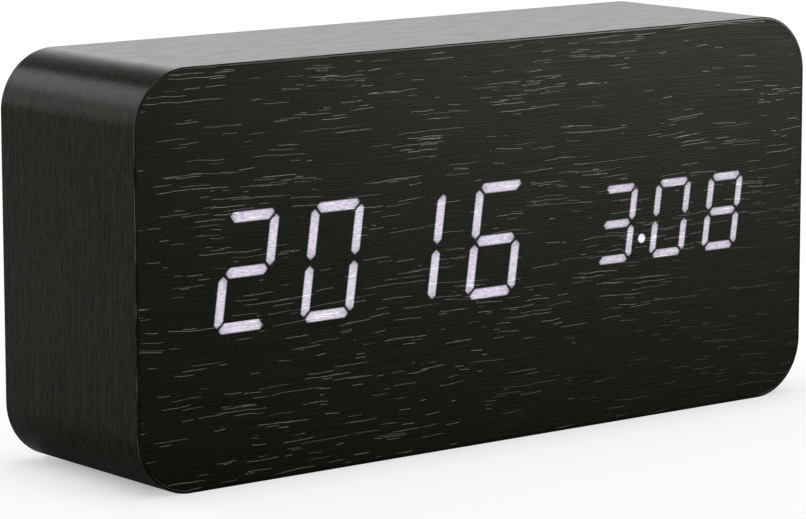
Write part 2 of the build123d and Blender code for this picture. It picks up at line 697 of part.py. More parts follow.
def ribbon_cable():
    y_start = Y_DISPLAY_REAR + RIBBON_SOCKET_DEPTH - RIBBON_INSERTION
    y_end = Y_CONTROL_FRONT - RIBBON_SOCKET_DEPTH + RIBBON_INSERTION
    y_turn = (y_start + y_end) / 2
    z_low = Z_DIGITS - RIBBON_OFFSET / 2
    z_high = Z_DIGITS + RIBBON_OFFSET / 2
    route = [(y_start, z_low), (y_turn, z_low), (y_turn, z_high), (y_end, z_high)]
    band = trace(FilletPolyline(*route, radius=RIBBON_BEND_RADIUS), RIBBON_THICKNESS)
    return extrude(Plane.YZ.offset(X_CONTROLS - RIBBON_WIDTH / 2) * band, amount=RIBBON_WIDTH)


# Rear panel
def panel_screw_places():
    x = PANEL_WIDTH / 2 - PANEL_SCREW_INSET
    z = PANEL_HEIGHT / 2 - PANEL_SCREW_INSET
    return [(i * x, Z_MIDDLE + j * z) for i in SIGNS for j in SIGNS]


def boss_places():
    x = CONTROL_BOARD_WIDTH / 2 - BOSS_INSET
    return [(X_CONTROLS + i * x, Z_MIDDLE + j * BOSS_RISE) for i in SIGNS for j in SIGNS]


def button_x(column):
    return X_CONTROLS + column * CONTROL_COLUMN_PITCH


def panel_holes():
    holes = []
    for column in (-1, 0, 1):
        slot = SlotOverall(BUTTON_WIDTH + 2 * BUTTON_FIT, BUTTON_HEIGHT + 2 * BUTTON_FIT)
        holes.append(Pos(button_x(column), Z_BUTTONS) * slot)
    power = Rectangle(POWER_SHELL_WIDTH + 2 * POWER_SLOT_FIT, POWER_SHELL_HEIGHT + 2 * POWER_SLOT_FIT)
    holes.append(Pos(X_CONTROLS, Z_SOCKETS) * power)
    buzzer = Pos(button_x(-1), Z_SOCKETS)
    hole = Circle(SOUND_HOLE_DIAMETER / 2)
    holes.append(buzzer * hole)
    ring = PolarLocations(SOUND_HOLE_CIRCLE_DIAMETER / 2, SOUND_HOLE_COUNT)
    holes += [buzzer * place * hole for place in ring]
    holes.append(Pos(button_x(1), Z_SOCKETS) * hole)
    for index in range(VENT_COUNT):
        z = Z_VENTS + (index - (VENT_COUNT - 1) / 2) * VENT_PITCH
        holes.append(Pos(X_CONTROLS, z) * SlotOverall(VENT_LENGTH, VENT_WIDTH))
    return holes


def door_opening():
    size = (BAY_LENGTH + 2 * DOOR_LEDGE, BAY_HEIGHT + 2 * DOOR_LEDGE)
    return Pos((X_BAY + X_BAY_HIGH) / 2, Z_MIDDLE) * Rectangle(*size)


def pivot_axis():
    return X_DOOR_HIGH - DOOR_THICKNESS / 2, Y_PANEL - DOOR_THICKNESS / 2


def rear_panel():
    outline = Pos(0, Z_MIDDLE) * RectangleRounded(PANEL_WIDTH, PANEL_HEIGHT, PANEL_RADIUS)
    outline -= [door_opening()] + panel_holes()
    panel = slab(outline, Y_PANEL_INNER, Y_PANEL)
    for x, z in panel_screw_places():
        panel -= rod_y(SCREW_DIAMETER + 2 * SCREW_PASS_FIT, x, Y_PANEL_INNER, Y_PANEL, z)
        head = SCREW_HEAD_DIAMETER + 2 * SCREW_PASS_FIT
        panel -= rod_y(head, x, Y_PANEL - SCREW_HEAD_HEIGHT, Y_PANEL + OVERRUN, z)
    for x, z in boss_places():
        panel += rod_y(BOSS_DIAMETER, x, Y_CONTROL, Y_PANEL_INNER, z)
        y_end = Y_CONTROL + BOSS_SCREW_BITE + SCREW_HOLE_FIT
        panel -= rod_y(SCREW_DIAMETER + 2 * SCREW_HOLE_FIT, x, Y_CONTROL, y_end, z)
    x_edge = X_BAY - DOOR_LEDGE
    panel -= rod_y(2 * SCOOP_RADIUS, x_edge, Y_PANEL - SCOOP_DEPTH, Y_PANEL + OVERRUN, Z_MIDDLE)
    x, y = pivot_axis()
    reach = DOOR_HALF_HEIGHT + DOOR_GAP + PIVOT_REACH + PIVOT_END_GAP
    panel -= rod_z(PIVOT_DIAMETER + 2 * PIVOT_FIT, x, y, Z_MIDDLE - reach, Z_MIDDLE + reach)
    return panel


def panel_screws():
    y_seat = Y_PANEL - SCREW_HEAD_HEIGHT
    reach = Y_PANEL_INNER - PANEL_SCREW_BITE - y_seat
    return [screw(x, z, y_seat, reach) for x, z in panel_screw_places()]


# Control board, buttons and switches
def control_board():
    outline = Pos(X_CONTROLS, Z_MIDDLE) * Rectangle(CONTROL_BOARD_WIDTH, CONTROL_BOARD_HEIGHT)
    outline -= [Pos(*place) * Circle(SCREW_DIAMETER / 2 + SCREW_PASS_FIT) for place in boss_places()]
    return slab(outline, Y_CONTROL_FRONT, Y_CONTROL)


def control_screws():
    reach = BOARD_THICKNESS + BOSS_SCREW_BITE
    return [screw(x, z, Y_CONTROL_FRONT, reach) for x, z in boss_places()]


def ring_symbol():
    return Circle(SYMBOL_SIZE) - Circle(SYMBOL_SIZE - SYMBOL_LINE)


def arrow_symbol(turn):
    return RegularPolygon(SYMBOL_SIZE, 3, rotation=turn)


def button(column, symbol):
    x = button_x(column)
    y_face = Y_PANEL + BUTTON_PROUD
    cap = slab(Pos(x, Z_BUTTONS) * SlotOverall(BUTTON_WIDTH, BUTTON_HEIGHT), Y_BUTTON_RIM, y_face)
    cap = fillet(end_edges(cap, Axis.Y, -1), BUTTON_EDGE_ROUNDING)
    rim = SlotOverall(2 * RIM_HALF_WIDTH, 2 * RIM_HALF_HEIGHT)
    cap += slab(Pos(x, Z_BUTTONS) * rim, Y_BUTTON_RIM, Y_BUTTON_RIM + BUTTON_RIM_THICKNESS)
    return cap - slab(Pos(x, Z_BUTTONS) * symbol, y_face - SYMBOL_DEPTH, y_face + OVERRUN)


def plunger_bottom():
    return Y_CONTROL + SWITCH_HEIGHT - PLUNGER_DEPTH


def plunger(column):
    return rod_y(PLUNGER_DIAMETER, button_x(column), plunger_bottom(), Y_BUTTON_RIM, Z_BUTTONS)


def switch(column):
    x = button_x(column)
    body = slab(Pos(x, Z_BUTTONS) * Rectangle(SWITCH_SIZE, SWITCH_SIZE), Y_CONTROL, Y_CONTROL + SWITCH_HEIGHT)
    body = chamfer(end_edges(body, Axis.Y, -1), SWITCH_EDGE)
    y_bore = plunger_bottom() - BUTTON_TRAVEL - PLUNGER_STOP_GAP
    bore = PLUNGER_DIAMETER + 2 * PLUNGER_FIT
    return body - rod_y(bore, x, y_bore, Y_CONTROL + SWITCH_HEIGHT + OVERRUN, Z_BUTTONS)


# Power socket
def power_shell():
    place = Pos(X_CONTROLS, Z_SOCKETS)
    outer = RectangleRounded(POWER_SHELL_WIDTH, POWER_SHELL_HEIGHT, POWER_SHELL_RADIUS)
    wall = 2 * POWER_SHELL_WALL
    radius = POWER_SHELL_RADIUS - POWER_SHELL_WALL
    inner = RectangleRounded(POWER_SHELL_WIDTH - wall, POWER_SHELL_HEIGHT - wall, radius)
    shell = slab(place * outer, Y_CONTROL, Y_PANEL)
    return shell - slab(place * inner, Y_CONTROL + POWER_SHELL_FLOOR, Y_PANEL + OVERRUN)


def power_tongue():
    outline = Pos(X_CONTROLS, Z_SOCKETS) * Rectangle(POWER_TONGUE_WIDTH, POWER_TONGUE_THICKNESS)
    return slab(outline, Y_CONTROL + POWER_SHELL_FLOOR, Y_PANEL - POWER_TONGUE_SETBACK)


def power_contacts():
    z_low = Z_SOCKETS + POWER_TONGUE_THICKNESS / 2
    y_high = Y_PANEL - POWER_TONGUE_SETBACK - POWER_CONTACT_SETBACK
    strips = []
    for index in range(POWER_CONTACT_COUNT):
        x = X_CONTROLS + (index - (POWER_CONTACT_COUNT - 1) / 2) * POWER_CONTACT_PITCH
        low = (x - POWER_CONTACT_WIDTH / 2, Y_CONTROL + POWER_SHELL_FLOOR, z_low)
        strips.append(brick(low, (x + POWER_CONTACT_WIDTH / 2, y_high, z_low + POWER_CONTACT_THICKNESS)))
    return strips


# Buzzer, microphone and temperature sensor
def buzzer():
    x = button_x(-1)
    y_top = Y_CONTROL + BUZZER_HEIGHT
    can = rod_y(BUZZER_DIAMETER, x, Y_CONTROL, y_top, Z_SOCKETS)
    can = fillet(end_edges(can, Axis.Y, -1), BUZZER_ROUNDING)
    return can - rod_y(BUZZER_PORT_DIAMETER, x, y_top - BUZZER_PORT_DEPTH, y_top + OVERRUN, Z_SOCKETS)


def microphone():
    can = rod_y(MICROPHONE_DIAMETER, button_x(1), Y_CONTROL, Y_CONTROL + MICROPHONE_HEIGHT, Z_SOCKETS)
    return fillet(end_edges(can, Axis.Y, -1), MICROPHONE_ROUNDING)


def temperature_sensor():
    y_bead = Y_CONTROL + SENSOR_HEIGHT
    bead = Pos(X_CONTROLS, y_bead, Z_VENTS) * Sphere(SENSOR_BEAD_DIAMETER / 2)
    for side in SIGNS:
        x = X_CONTROLS + side * SENSOR_LEAD_SPACING / 2
        bead += rod_y(SENSOR_LEAD_DIAMETER, x, Y_CONTROL, y_bead, Z_VENTS)
    return bead


# Battery bay. Cells lie along X and point the other way in turn, the first with its nub at +X.
def cell_z(index):
    return Z_MIDDLE + (index - (CELL_COUNT - 1) / 2) * CELL_PITCH


def nub_side(index):
    return 1 if index % 2 == 0 else -1


def battery_tray():
    outline = RectangleRounded(TRAY_LENGTH, TRAY_HEIGHT, TRAY_CORNER_RADIUS)
    tray = slab(Pos(X_TRAY + TRAY_LENGTH / 2, Z_MIDDLE) * outline, Y_TRAY, Y_PANEL_INNER)
    low = (X_BAY, Y_CRADLE, Z_MIDDLE - BAY_HEIGHT / 2)
    tray -= brick(low, (X_BAY_HIGH, Y_PANEL_INNER + OVERRUN, Z_MIDDLE + BAY_HEIGHT / 2))
    for index in range(CELL_COUNT):
        tray -= rod_x(CELL_DIAMETER + 2 * CELL_FIT, X_BAY, X_BAY_HIGH, Y_CELL, cell_z(index))
    for index in (0, CELL_COUNT - 1):
        half = TAB_WIDTH / 2 + PLATE_FIT
        low = (X_BAY, Y_TRAY - OVERRUN, cell_z(index) - half)
        tray -= brick(low, (X_BAY + PLATE_THICKNESS + PLATE_FIT, Y_CELL, cell_z(index) + half))
    return tray


def battery_cell(index):
    x_nub = X_BAY_HIGH - PLATE_THICKNESS if nub_side(index) > 0 else X_BAY + PLATE_THICKNESS
    x_shoulder = x_nub - nub_side(index) * CELL_NUB_LENGTH
    x_base = x_nub - nub_side(index) * CELL_LENGTH
    can = rod_x(CELL_DIAMETER, *sorted((x_base, x_shoulder)), Y_CELL, cell_z(index))
    can = fillet(end_edges(can, Axis.X, 0) + end_edges(can, Axis.X, -1), CELL_ROUNDING)
    return can + rod_x(CELL_NUB_DIAMETER, *sorted((x_shoulder, x_nub)), Y_CELL, cell_z(index))


def contact_plate(x_low, first, last):
    half = CELL_DIAMETER / 2 - PLATE_INSET
    low = (x_low, Y_CRADLE + PLATE_FIT, cell_z(first) - half)
    return brick(low, (x_low + PLATE_THICKNESS, Y_CELL + PLATE_RISE, cell_z(last) + half))


# The cells are in series: two plates join pairs at +X, one joins a pair at -X, and two end plates carry tabs
def contact_plates():
    x_high = X_BAY_HIGH - PLATE_THICKNESS
    plates = [contact_plate(x_high, index, index + 1) for index in range(0, CELL_COUNT, 2)]
    plates += [contact_plate(X_BAY, index, index + 1) for index in range(1, CELL_COUNT - 1, 2)]
    for index in (0, CELL_COUNT - 1):
        low = (X_BAY, Y_TRAY - TAB_DROP, cell_z(index) - TAB_WIDTH / 2)
        tab = brick(low, (X_BAY + PLATE_THICKNESS, Y_CELL, cell_z(index) + TAB_WIDTH / 2))
        plates.append(contact_plate(X_BAY, index, index) + tab)
    return plates


# A cone of wire from the plate to the flat end of a cell, as two tangent arcs for each quarter turn
def spring_point(index, turn):
    side = -nub_side(index)
    plate = X_BAY_HIGH - PLATE_THICKNESS if side > 0 else X_BAY + PLATE_THICKNESS
    margin = SPRING_WIRE / 2 + SPRING_SEAT_GAP
    share = turn / SPRING_TURNS
    x = plate - side * (margin + share * (SPRING_LENGTH - 2 * margin))
    radius = (SPRING_BASE_DIAMETER + share * (SPRING_TIP_DIAMETER - SPRING_BASE_DIAMETER)) / 2
    angle = math.tau * turn
    return Vector(x, Y_CELL + radius * math.cos(angle), cell_z(index) + radius * math.sin(angle))


def spring_direction(index, turn):
    small_share = 0.001
    return (spring_point(index, turn + small_share) - spring_point(index, turn - small_share)).normalized()


def tangent_arcs(start, start_direction, end, end_direction):
    span = end - start
    together = start_direction + end_direction
    bend = 2 * (1 - start_direction.dot(end_direction))
    along = span.dot(together)
    reach = (math.sqrt(along * along + bend * span.dot(span)) - along) / bend
    before = start + start_direction * reach
    after = end - end_direction * reach
    middle = (before + after) / 2
    first = TangentArc(start, middle, tangent=start_direction)
    return [first, TangentArc(middle, end, tangent=(after - before).normalized())]


def spring(index):
    quarters = [step / 4 for step in range(4 * SPRING_TURNS + 1)]
    arcs = []
    for turn, after in zip(quarters, quarters[1:]):
        arcs += tangent_arcs(spring_point(index, turn), spring_direction(index, turn),
                             spring_point(index, after), spring_direction(index, after))
    section = Plane(origin=spring_point(index, 0), z_dir=spring_direction(index, 0)) * Circle(SPRING_WIRE / 2)
    return sweep(section, path=Wire(arcs))


def print_spring_gap():
    steps = 24
    places = [spring_point(0, step / steps) for step in range(steps * SPRING_TURNS + 1)]
    pairs = [(a, b) for k, a in enumerate(places) for b in places[k + steps // 2:]]
    gap = min((a - b).length for a, b in pairs) - SPRING_WIRE
    print("least gap between the turns of a contact spring: %.2f mm" % gap)


# A soldered lead from an end plate's tab to the control board
def battery_lead(index):
    y_tab = Y_TRAY - TAB_DROP / 2
    x_pad = X_CONTROL_HIGH - LEAD_PAD_INSET
    z = cell_z(index)
    radius = LEAD_BEND_SHARE * min(X_BAY - x_pad, Y_CONTROL_FRONT - y_tab)
    route = FilletPolyline((X_BAY, y_tab, z), (x_pad, y_tab, z), (x_pad, Y_CONTROL_FRONT, z), radius=radius)
    section = Plane(origin=(X_BAY, y_tab, z), z_dir=(-1, 0, 0)) * Circle(LEAD_DIAMETER / 2)
    return sweep(section, path=route)


# The door turns on two round pivots at its +X edge, which is rounded about the same axis
def battery_door():
    x_axis, y_axis = pivot_axis()
    z_low = Z_MIDDLE - DOOR_HALF_HEIGHT
    z_high = Z_MIDDLE + DOOR_HALF_HEIGHT
    door = brick((X_DOOR, Y_DOOR_INNER, z_low), (x_axis, Y_PANEL, z_high))
    door += rod_z(DOOR_THICKNESS, x_axis, y_axis, z_low, z_high)
    reach = DOOR_GAP + PIVOT_REACH
    door += rod_z(PIVOT_DIAMETER, x_axis, y_axis, z_low - reach, z_high + reach)
    for side in SIGNS:
        z = sorted((Z_MIDDLE + side * LATCH_WIDTH / 2, Z_MIDDLE + side * (LATCH_WIDTH / 2 + LATCH_SLIT)))
        low = (X_DOOR - OVERRUN, Y_DOOR_INNER - OVERRUN, z[0])
        door -= brick(low, (X_DOOR + LATCH_LENGTH, Y_PANEL + OVERRUN, z[1]))
    x_bead = X_DOOR + LATCH_BEAD_DIAMETER / 2 - LATCH_BEAD_PROUD
    half = LATCH_BEAD_LENGTH / 2
    door += rod_z(LATCH_BEAD_DIAMETER, x_bead, y_axis, Z_MIDDLE - half, Z_MIDDLE + half)
    for index in range(GRIP_COUNT):
        x = X_DOOR + GRIP_INSET + index * GRIP_PITCH
        low = (x, Y_PANEL, Z_MIDDLE - GRIP_LENGTH / 2)
        door += brick(low, (x + GRIP_WIDTH, Y_PANEL + GRIP_PROUD, Z_MIDDLE + GRIP_LENGTH / 2))
    return door


def all_nodes():
    core = case_outline(VENEER_THICKNESS)
    veneer = perimeter_veneer()
    nodes = {
        "left_side_block": side_block(-1),
        "right_side_block": side_block(1),
        "top_board": wall_board(CASE_HEIGHT - VENEER_THICKNESS - WALL_BOARD_THICKNESS),
        "bottom_board": wall_board(VENEER_THICKNESS),
        "corner_dowels": dowel_rods(0),
        "front_board": front_board(),
        "rear_board": rear_board(),
        "front_veneer": slab(core, Y_FRONT, Y_CORE_FRONT),
        "rear_veneer": slab(core - panel_pocket(), Y_CORE_REAR, Y_REAR),
        "wrap_veneer": veneer - underside_zone(),
        "base_veneer": veneer & underside_zone(),
        "diffuser_film": diffuser_film(),
        "large_digit_block": digit_block(LARGE),
        "small_digit_block": digit_block(SMALL),
        "lit_large_segments": light_guides(LARGE, True),
        "dark_large_segments": light_guides(LARGE, False),
        "lit_small_segments": light_guides(SMALL, True),
        "dark_small_segments": light_guides(SMALL, False),
        "segment_leds": segment_leds(),
        "display_board": display_board(),
        "board_spacers": board_spacers(),
        "display_screws": display_screws(),
        "controller_chip": chip(0, Z_DIGITS + CHIP_ROW_RISE),
        "led_driver_chip": chip(0, Z_DIGITS - CHIP_ROW_RISE),
        "clock_crystal": clock_crystal(),
        "smoothing_capacitor": smoothing_capacitor(),
        "chip_resistors": chip_resistors(),
        "backup_cell_holder": coin_holder(),
        "backup_cell": coin_cell(),
        "backup_cell_clip": coin_clip(),
        "front_ribbon_socket": front_ribbon_socket(),
        "rear_ribbon_socket": rear_ribbon_socket(),
        "ribbon_cable": ribbon_cable(),
        "rear_panel": rear_panel(),
        "panel_screws": panel_screws(),
        "control_board": control_board(),
        "control_screws": control_screws(),
        "power_socket_shell": power_shell(),
        "power_socket_tongue": power_tongue(),
        "power_socket_contacts": power_contacts(),
        "buzzer": buzzer(),
        "microphone": microphone(),
        "temperature_sensor": temperature_sensor(),
        "battery_tray": battery_tray(),
        "contact_plates": contact_plates(),
        "contact_springs": [spring(index) for index in range(CELL_COUNT)],
        "negative_lead": battery_lead(0),
        "positive_lead": battery_lead(CELL_COUNT - 1),
        "battery_door": battery_door(),
    }
    for index in range(CELL_COUNT):
        nodes["battery_cell_%d" % (index + 1)] = battery_cell(index)
    symbols = {"set": ring_symbol(), "up": arrow_symbol(90), "down": arrow_symbol(-90)}
    for column, name in zip((1, 0, -1), symbols):
        nodes[name + "_button"] = button(column, symbols[name])
        nodes[name + "_plunger"] = plunger(column)
    nodes["button_switches"] = [switch(column) for column in (-1, 0, 1)]
    return nodes


os.makedirs("parts", exist_ok=True)
print_spring_gap()
for name, shape in all_nodes().items():
    solids = [solid for piece in (shape if isinstance(shape, list) else [shape]) for solid in piece.solids()]
    export_step(Compound(solids) if len(solids) > 1 else solids[0], "parts/%s.step" % name)
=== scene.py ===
import math
import bpy
from mathutils import Matrix, Vector
from mathutils.geometry import delaunay_2d_cdt


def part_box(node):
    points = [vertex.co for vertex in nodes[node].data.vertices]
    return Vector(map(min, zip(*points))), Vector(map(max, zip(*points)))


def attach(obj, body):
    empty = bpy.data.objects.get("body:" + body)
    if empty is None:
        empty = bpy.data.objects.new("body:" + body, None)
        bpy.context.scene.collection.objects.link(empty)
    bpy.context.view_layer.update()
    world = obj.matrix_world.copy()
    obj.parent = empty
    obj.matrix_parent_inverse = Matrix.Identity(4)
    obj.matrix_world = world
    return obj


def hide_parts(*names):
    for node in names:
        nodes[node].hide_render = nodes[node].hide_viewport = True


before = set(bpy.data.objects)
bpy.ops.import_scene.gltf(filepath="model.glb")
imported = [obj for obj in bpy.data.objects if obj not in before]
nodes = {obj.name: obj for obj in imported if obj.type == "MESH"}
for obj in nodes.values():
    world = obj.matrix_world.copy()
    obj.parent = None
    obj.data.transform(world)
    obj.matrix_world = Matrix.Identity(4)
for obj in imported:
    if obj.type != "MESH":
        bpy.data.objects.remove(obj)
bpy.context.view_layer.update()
mm = 0.001
noiseSpan = (0.3, 0.7)  # where most values of a noise lie
wholeSpan = (0.0, 1.0)
facingFrom = 0.5  # share of its normal from which a face counts as turned that way
print("frame loaded:", len(nodes), "nodes")


# shader building, in short calls

def plug(tree, value, socket):  # links a socket, or sets a plain value
    if isinstance(value, bpy.types.NodeSocket):
        tree.links.new(value, socket)
    else:
        socket.default_value = value


def addNode(tree, kind, sockets=None, **settings):
    made = tree.nodes.new("ShaderNode" + kind)
    for name, value in settings.items():
        setattr(made, name, value)
    for name, value in (sockets or {}).items():
        plug(tree, value, made.inputs[name])
    return made


def calc(tree, operation, *values):
    return addNode(tree, "Math", dict(enumerate(values)), operation=operation).outputs[0]


def times(tree, first, second):
    return calc(tree, "MULTIPLY", first, second)


def vectorCalc(tree, operation, *values):
    return addNode(tree, "VectorMath", dict(enumerate(values)), operation=operation).outputs[0]


def spread(tree, value, fromLow, fromHigh, toLow=0.0, toHigh=1.0):  # eased from one range to another
    ends = {"Value": value, "From Min": fromLow, "From Max": fromHigh, "To Min": toLow, "To Max": toHigh}
    return addNode(tree, "MapRange", ends, interpolation_type="SMOOTHSTEP").outputs[0]


def blendColour(tree, share, first, second, way="MIX"):
    made = addNode(tree, "Mix", {0: share, 6: first, 7: second}, data_type="RGBA", blend_type=way)
    return made.outputs[2]


def noise(tree, place, size, detail=2.0):  # size of the marks in mm, one number or along x, y and z
    if isinstance(size, float):
        size = (size,) * 3
    stretched = vectorCalc(tree, "DIVIDE", place, size)
    made = addNode(tree, "TexNoise", {"Vector": stretched, "Scale": 1.0, "Detail": detail})
    return made.outputs[0]


def placeInMm(tree):  # where a point is on the object at rest
    where = addNode(tree, "TexCoord").outputs["Object"]
    return vectorCalc(tree, "MULTIPLY", where, (1 / mm,) * 3)


def splitPlace(tree, place):
    return addNode(tree, "SeparateXYZ", {0: place}).outputs


def joinPlace(tree, *values):  # from x, y and z
    return addNode(tree, "CombineXYZ", dict(enumerate(values))).outputs[0]


def faceTurn(tree):  # how far a face looks along x, y and z
    return splitPlace(tree, addNode(tree, "NewGeometry").outputs["Normal"])


def newGroup(name, inputs, *outputs):
    group = bpy.data.node_groups.new(name, "ShaderNodeTree")
    for label, value in inputs.items():
        kind = "NodeSocketVector" if isinstance(value, tuple) else "NodeSocketFloat"
        group.interface.new_socket(label, in_out="INPUT", socket_type=kind).default_value = value
    for label in outputs:
        group.interface.new_socket(label, in_out="OUTPUT", socket_type="NodeSocketFloat")
    given = group.nodes.new("NodeGroupInput").outputs
    wanted = group.nodes.new("NodeGroupOutput").inputs
    return group, given, wanted


def useGroup(tree, group, values):
    made = tree.nodes.new("ShaderNodeGroup")
    made.node_tree = group
    for label, value in values.items():
        plug(tree, value, made.inputs[label])
    return made.outputs


def emptyTree(owner):
    owner.use_nodes = True
    owner.node_tree.nodes.clear()
    return owner.node_tree


def newMaterial(name):
    material = bpy.data.materials.new(name)
    tree = emptyTree(material)
    shader = addNode(tree, "BsdfPrincipled")
    addNode(tree, "OutputMaterial", {"Surface": shader.outputs[0]})
    return material, tree, shader.inputs, placeInMm(tree)


def dress(tree, sockets, look, colour, marks, height=None, span=noiseSpan, more=None):
    rough = spread(tree, marks, *span, *look["roughness"])
    if more:  # a mask, and what it adds to the roughness
        rough = calc(tree, "MULTIPLY_ADD", *more, rough)
    plug(tree, colour, sockets["Base Color"])
    plug(tree, rough, sockets["Roughness"])
    if height:
        bump = {"Height": height, "Distance": look["depth"] * mm, "Strength": 1.0}
        plug(tree, addNode(tree, "Bump", bump).outputs[0], sockets["Normal"])


# shared effects

poreForm = {
    "shortest": 0.12, "longest": 0.44,  # half lengths, shares of the pitch
    "ends": (1.0, 0.78), "sides": (0.75, 0.2),  # closed and open, shares of the half length and of the width
    "faintest": 0.35,
}


def makeOpenPores():  # one layer of pores, as thin lines along the grain, sizes in mm
    group, given, wanted = newGroup(
        "openPores",
        {"Grain": (0, 0, 0), "Length": 8.0, "Spacing": 0.3, "Width": 0.11, "Share": 0.1}, "Pores")
    pitch = joinPlace(group, given["Length"], given["Spacing"], 1.0)
    stretched = vectorCalc(group, "DIVIDE", given["Grain"], pitch)
    cells = addNode(group, "TexVoronoi", {"Vector": stretched, "Scale": 1.0}, voronoi_dimensions="2D").outputs
    chance = addNode(group, "TexWhiteNoise", {"Vector": cells["Position"]}, noise_dimensions="2D").outputs
    draws = addNode(group, "SeparateColor", {0: chance["Color"]}).outputs
    away = splitPlace(group, vectorCalc(group, "SUBTRACT", stretched, cells["Position"]))
    longer = poreForm["longest"] - poreForm["shortest"]
    reach = calc(group, "MULTIPLY_ADD", draws[1], longer, poreForm["shortest"])
    ends = calc(group, "DIVIDE", calc(group, "ABSOLUTE", away[0]), reach)
    ends = spread(group, ends, *poreForm["ends"])
    line = times(group, calc(group, "ABSOLUTE", away[1]), given["Spacing"])
    line = spread(group, calc(group, "DIVIDE", line, given["Width"]), *poreForm["sides"])
    shown = calc(group, "LESS_THAN", draws[0], given["Share"])
    tone = calc(group, "MULTIPLY_ADD", draws[2], 1.0 - poreForm["faintest"], poreForm["faintest"])
    mask = times(group, times(group, ends, line), times(group, shown, tone))
    plug(group, mask, wanted["Pores"])
    return group


openPores = makeOpenPores()


grainForm = {  # lengths and widths of marks along and across the grain, in mm
    "waves": ((60, 40, 1.0), (20, 18, 0.7), (4, 6, 0.2)),  # and how far each reaches for a mm of bend
    "layers": ((22, 0.45, 0.08), (10, 0.40, 0.14), (4.4, 0.38, 0.045)),  # pores, and share of places with one
    "crowd": (24, 8, 1), "crowdRange": (0.36, 0.66), "crowdShare": (0.35, 1.6),  # pores stand close in places
    "gap": (1.1, 0.6, 1), "gapRange": (0.30, 0.55), "gapTone": (0.55, 1.0),  # a pore is fainter in places
    "fibre": (14, 0.22, 1), "fibreRise": 0.4, "mottle": (0.9, 0.30, 1), "mottleRise": 0.3,
    "streak": (16, 0.6, 1), "wax": (7, 1.6, 1), "waxRange": (0.36, 0.64),
}


def makeVeneerGrain():
    form = grainForm
    group, given, wanted = newGroup(
        "veneerGrain",
        {"Along": 0.0, "Across": 0.0, "Bend": 3.0, "Pore Share": 1.0, "Pore Length": 1.0, "Pore Width": 0.11},
        "Pores", "Fibre", "Mottle", "Streak", "Wax", "Height")
    straight = joinPlace(group, given["Along"], given["Across"])
    shift = 0.0
    for length, width, reach in form["waves"]:
        wave = calc(group, "SUBTRACT", noise(group, straight, (length, width, 1), 1.0), 0.5)
        shift = calc(group, "MULTIPLY_ADD", wave, times(group, given["Bend"], reach), shift)
    across = calc(group, "ADD", given["Across"], shift)
    bent = joinPlace(group, given["Along"], across)
    crowd = noise(group, bent, form["crowd"], 3.0)
    crowd = spread(group, crowd, *form["crowdRange"], *form["crowdShare"])
    crowd = times(group, crowd, given["Pore Share"])
    pores = 0.0
    for length, spacing, share in form["layers"]:
        values = {"Grain": bent, "Spacing": spacing, "Width": given["Pore Width"],
                  "Length": times(group, given["Pore Length"], length),
                  "Share": times(group, crowd, share)}
        layer = useGroup(group, openPores, values)["Pores"]
        pores = calc(group, "MAXIMUM", pores, layer)
    broken = spread(group, noise(group, bent, form["gap"]), *form["gapRange"], *form["gapTone"])
    pores = times(group, pores, broken)
    shorter = vectorCalc(group, "DIVIDE", bent, joinPlace(group, given["Pore Length"], 1.0))
    fibre = noise(group, shorter, form["fibre"], 4.0)
    mottle = noise(group, bent, form["mottle"], 5.0)
    streak = noise(group, bent, form["streak"], 3.0)
    wax = spread(group, noise(group, bent, form["wax"], 3.0), *form["waxRange"])
    rise = times(group, mottle, form["mottleRise"])
    rise = calc(group, "MULTIPLY_ADD", fibre, form["fibreRise"], rise)
    made = {"Pores": pores, "Fibre": fibre, "Mottle": mottle, "Streak": streak, "Wax": wax,
            "Height": calc(group, "SUBTRACT", rise, pores)}
    for label, value in made.items():
        plug(group, value, wanted[label])
    return group


veneerGrain = makeVeneerGrain()


def makeGirth():  # unrolls the strip around the case, from the middle of its top
    group, given, wanted = newGroup(
        "girth",
        {"Place": (0, 0, 0), "Corner X": 60.0, "Corner Low": 10.0, "Corner High": 60.0, "Radius": 10.0},
        "Along", "Across")

    def held(value, low, high):
        return addNode(group, "Clamp", {"Value": value, "Min": low, "Max": high}).outputs[0]

    x, y, z = splitPlace(group, given["Place"])
    nearX = held(x, times(group, given["Corner X"], -1.0), given["Corner X"])
    nearZ = held(z, given["Corner Low"], given["Corner High"])
    outX = calc(group, "SUBTRACT", x, nearX)
    outZ = calc(group, "SUBTRACT", z, nearZ)
    turn = times(group, calc(group, "ARCTAN2", outX, outZ), given["Radius"])
    down = times(group, calc(group, "SIGN", outX), calc(group, "SUBTRACT", given["Corner High"], nearZ))
    plug(group, calc(group, "ADD", calc(group, "ADD", nearX, turn), down), wanted["Along"])
    plug(group, y, wanted["Across"])
    return group


girth = makeGirth()


rubForm = {
    "bend": (0.99, 0.80),  # how far the rounded normal still agrees with the face
    "patch": 1.5, "patchRange": (0.35, 0.65),  # mm
    "tone": 0.6, "gloss": -0.12,  # share of the worn colour, change of roughness
}


def makeEdgeRub():  # where a corner is rubbed, radius in mm
    group, given, wanted = newGroup("edgeRub", {"Place": (0, 0, 0), "Radius": 0.3}, "Rub")
    radius = times(group, given["Radius"], mm)
    rounded = addNode(group, "Bevel", {"Radius": radius}, samples=4).outputs[0]
    flat = addNode(group, "NewGeometry").outputs["Normal"]
    facing = addNode(group, "VectorMath", {0: rounded, 1: flat}, operation="DOT_PRODUCT").outputs["Value"]
    edge = spread(group, facing, *rubForm["bend"])
    broken = spread(group, noise(group, given["Place"], rubForm["patch"], 3.0), *rubForm["patchRange"])
    plug(group, times(group, edge, broken), wanted["Rub"])
    return group


edgeRub = makeEdgeRub()


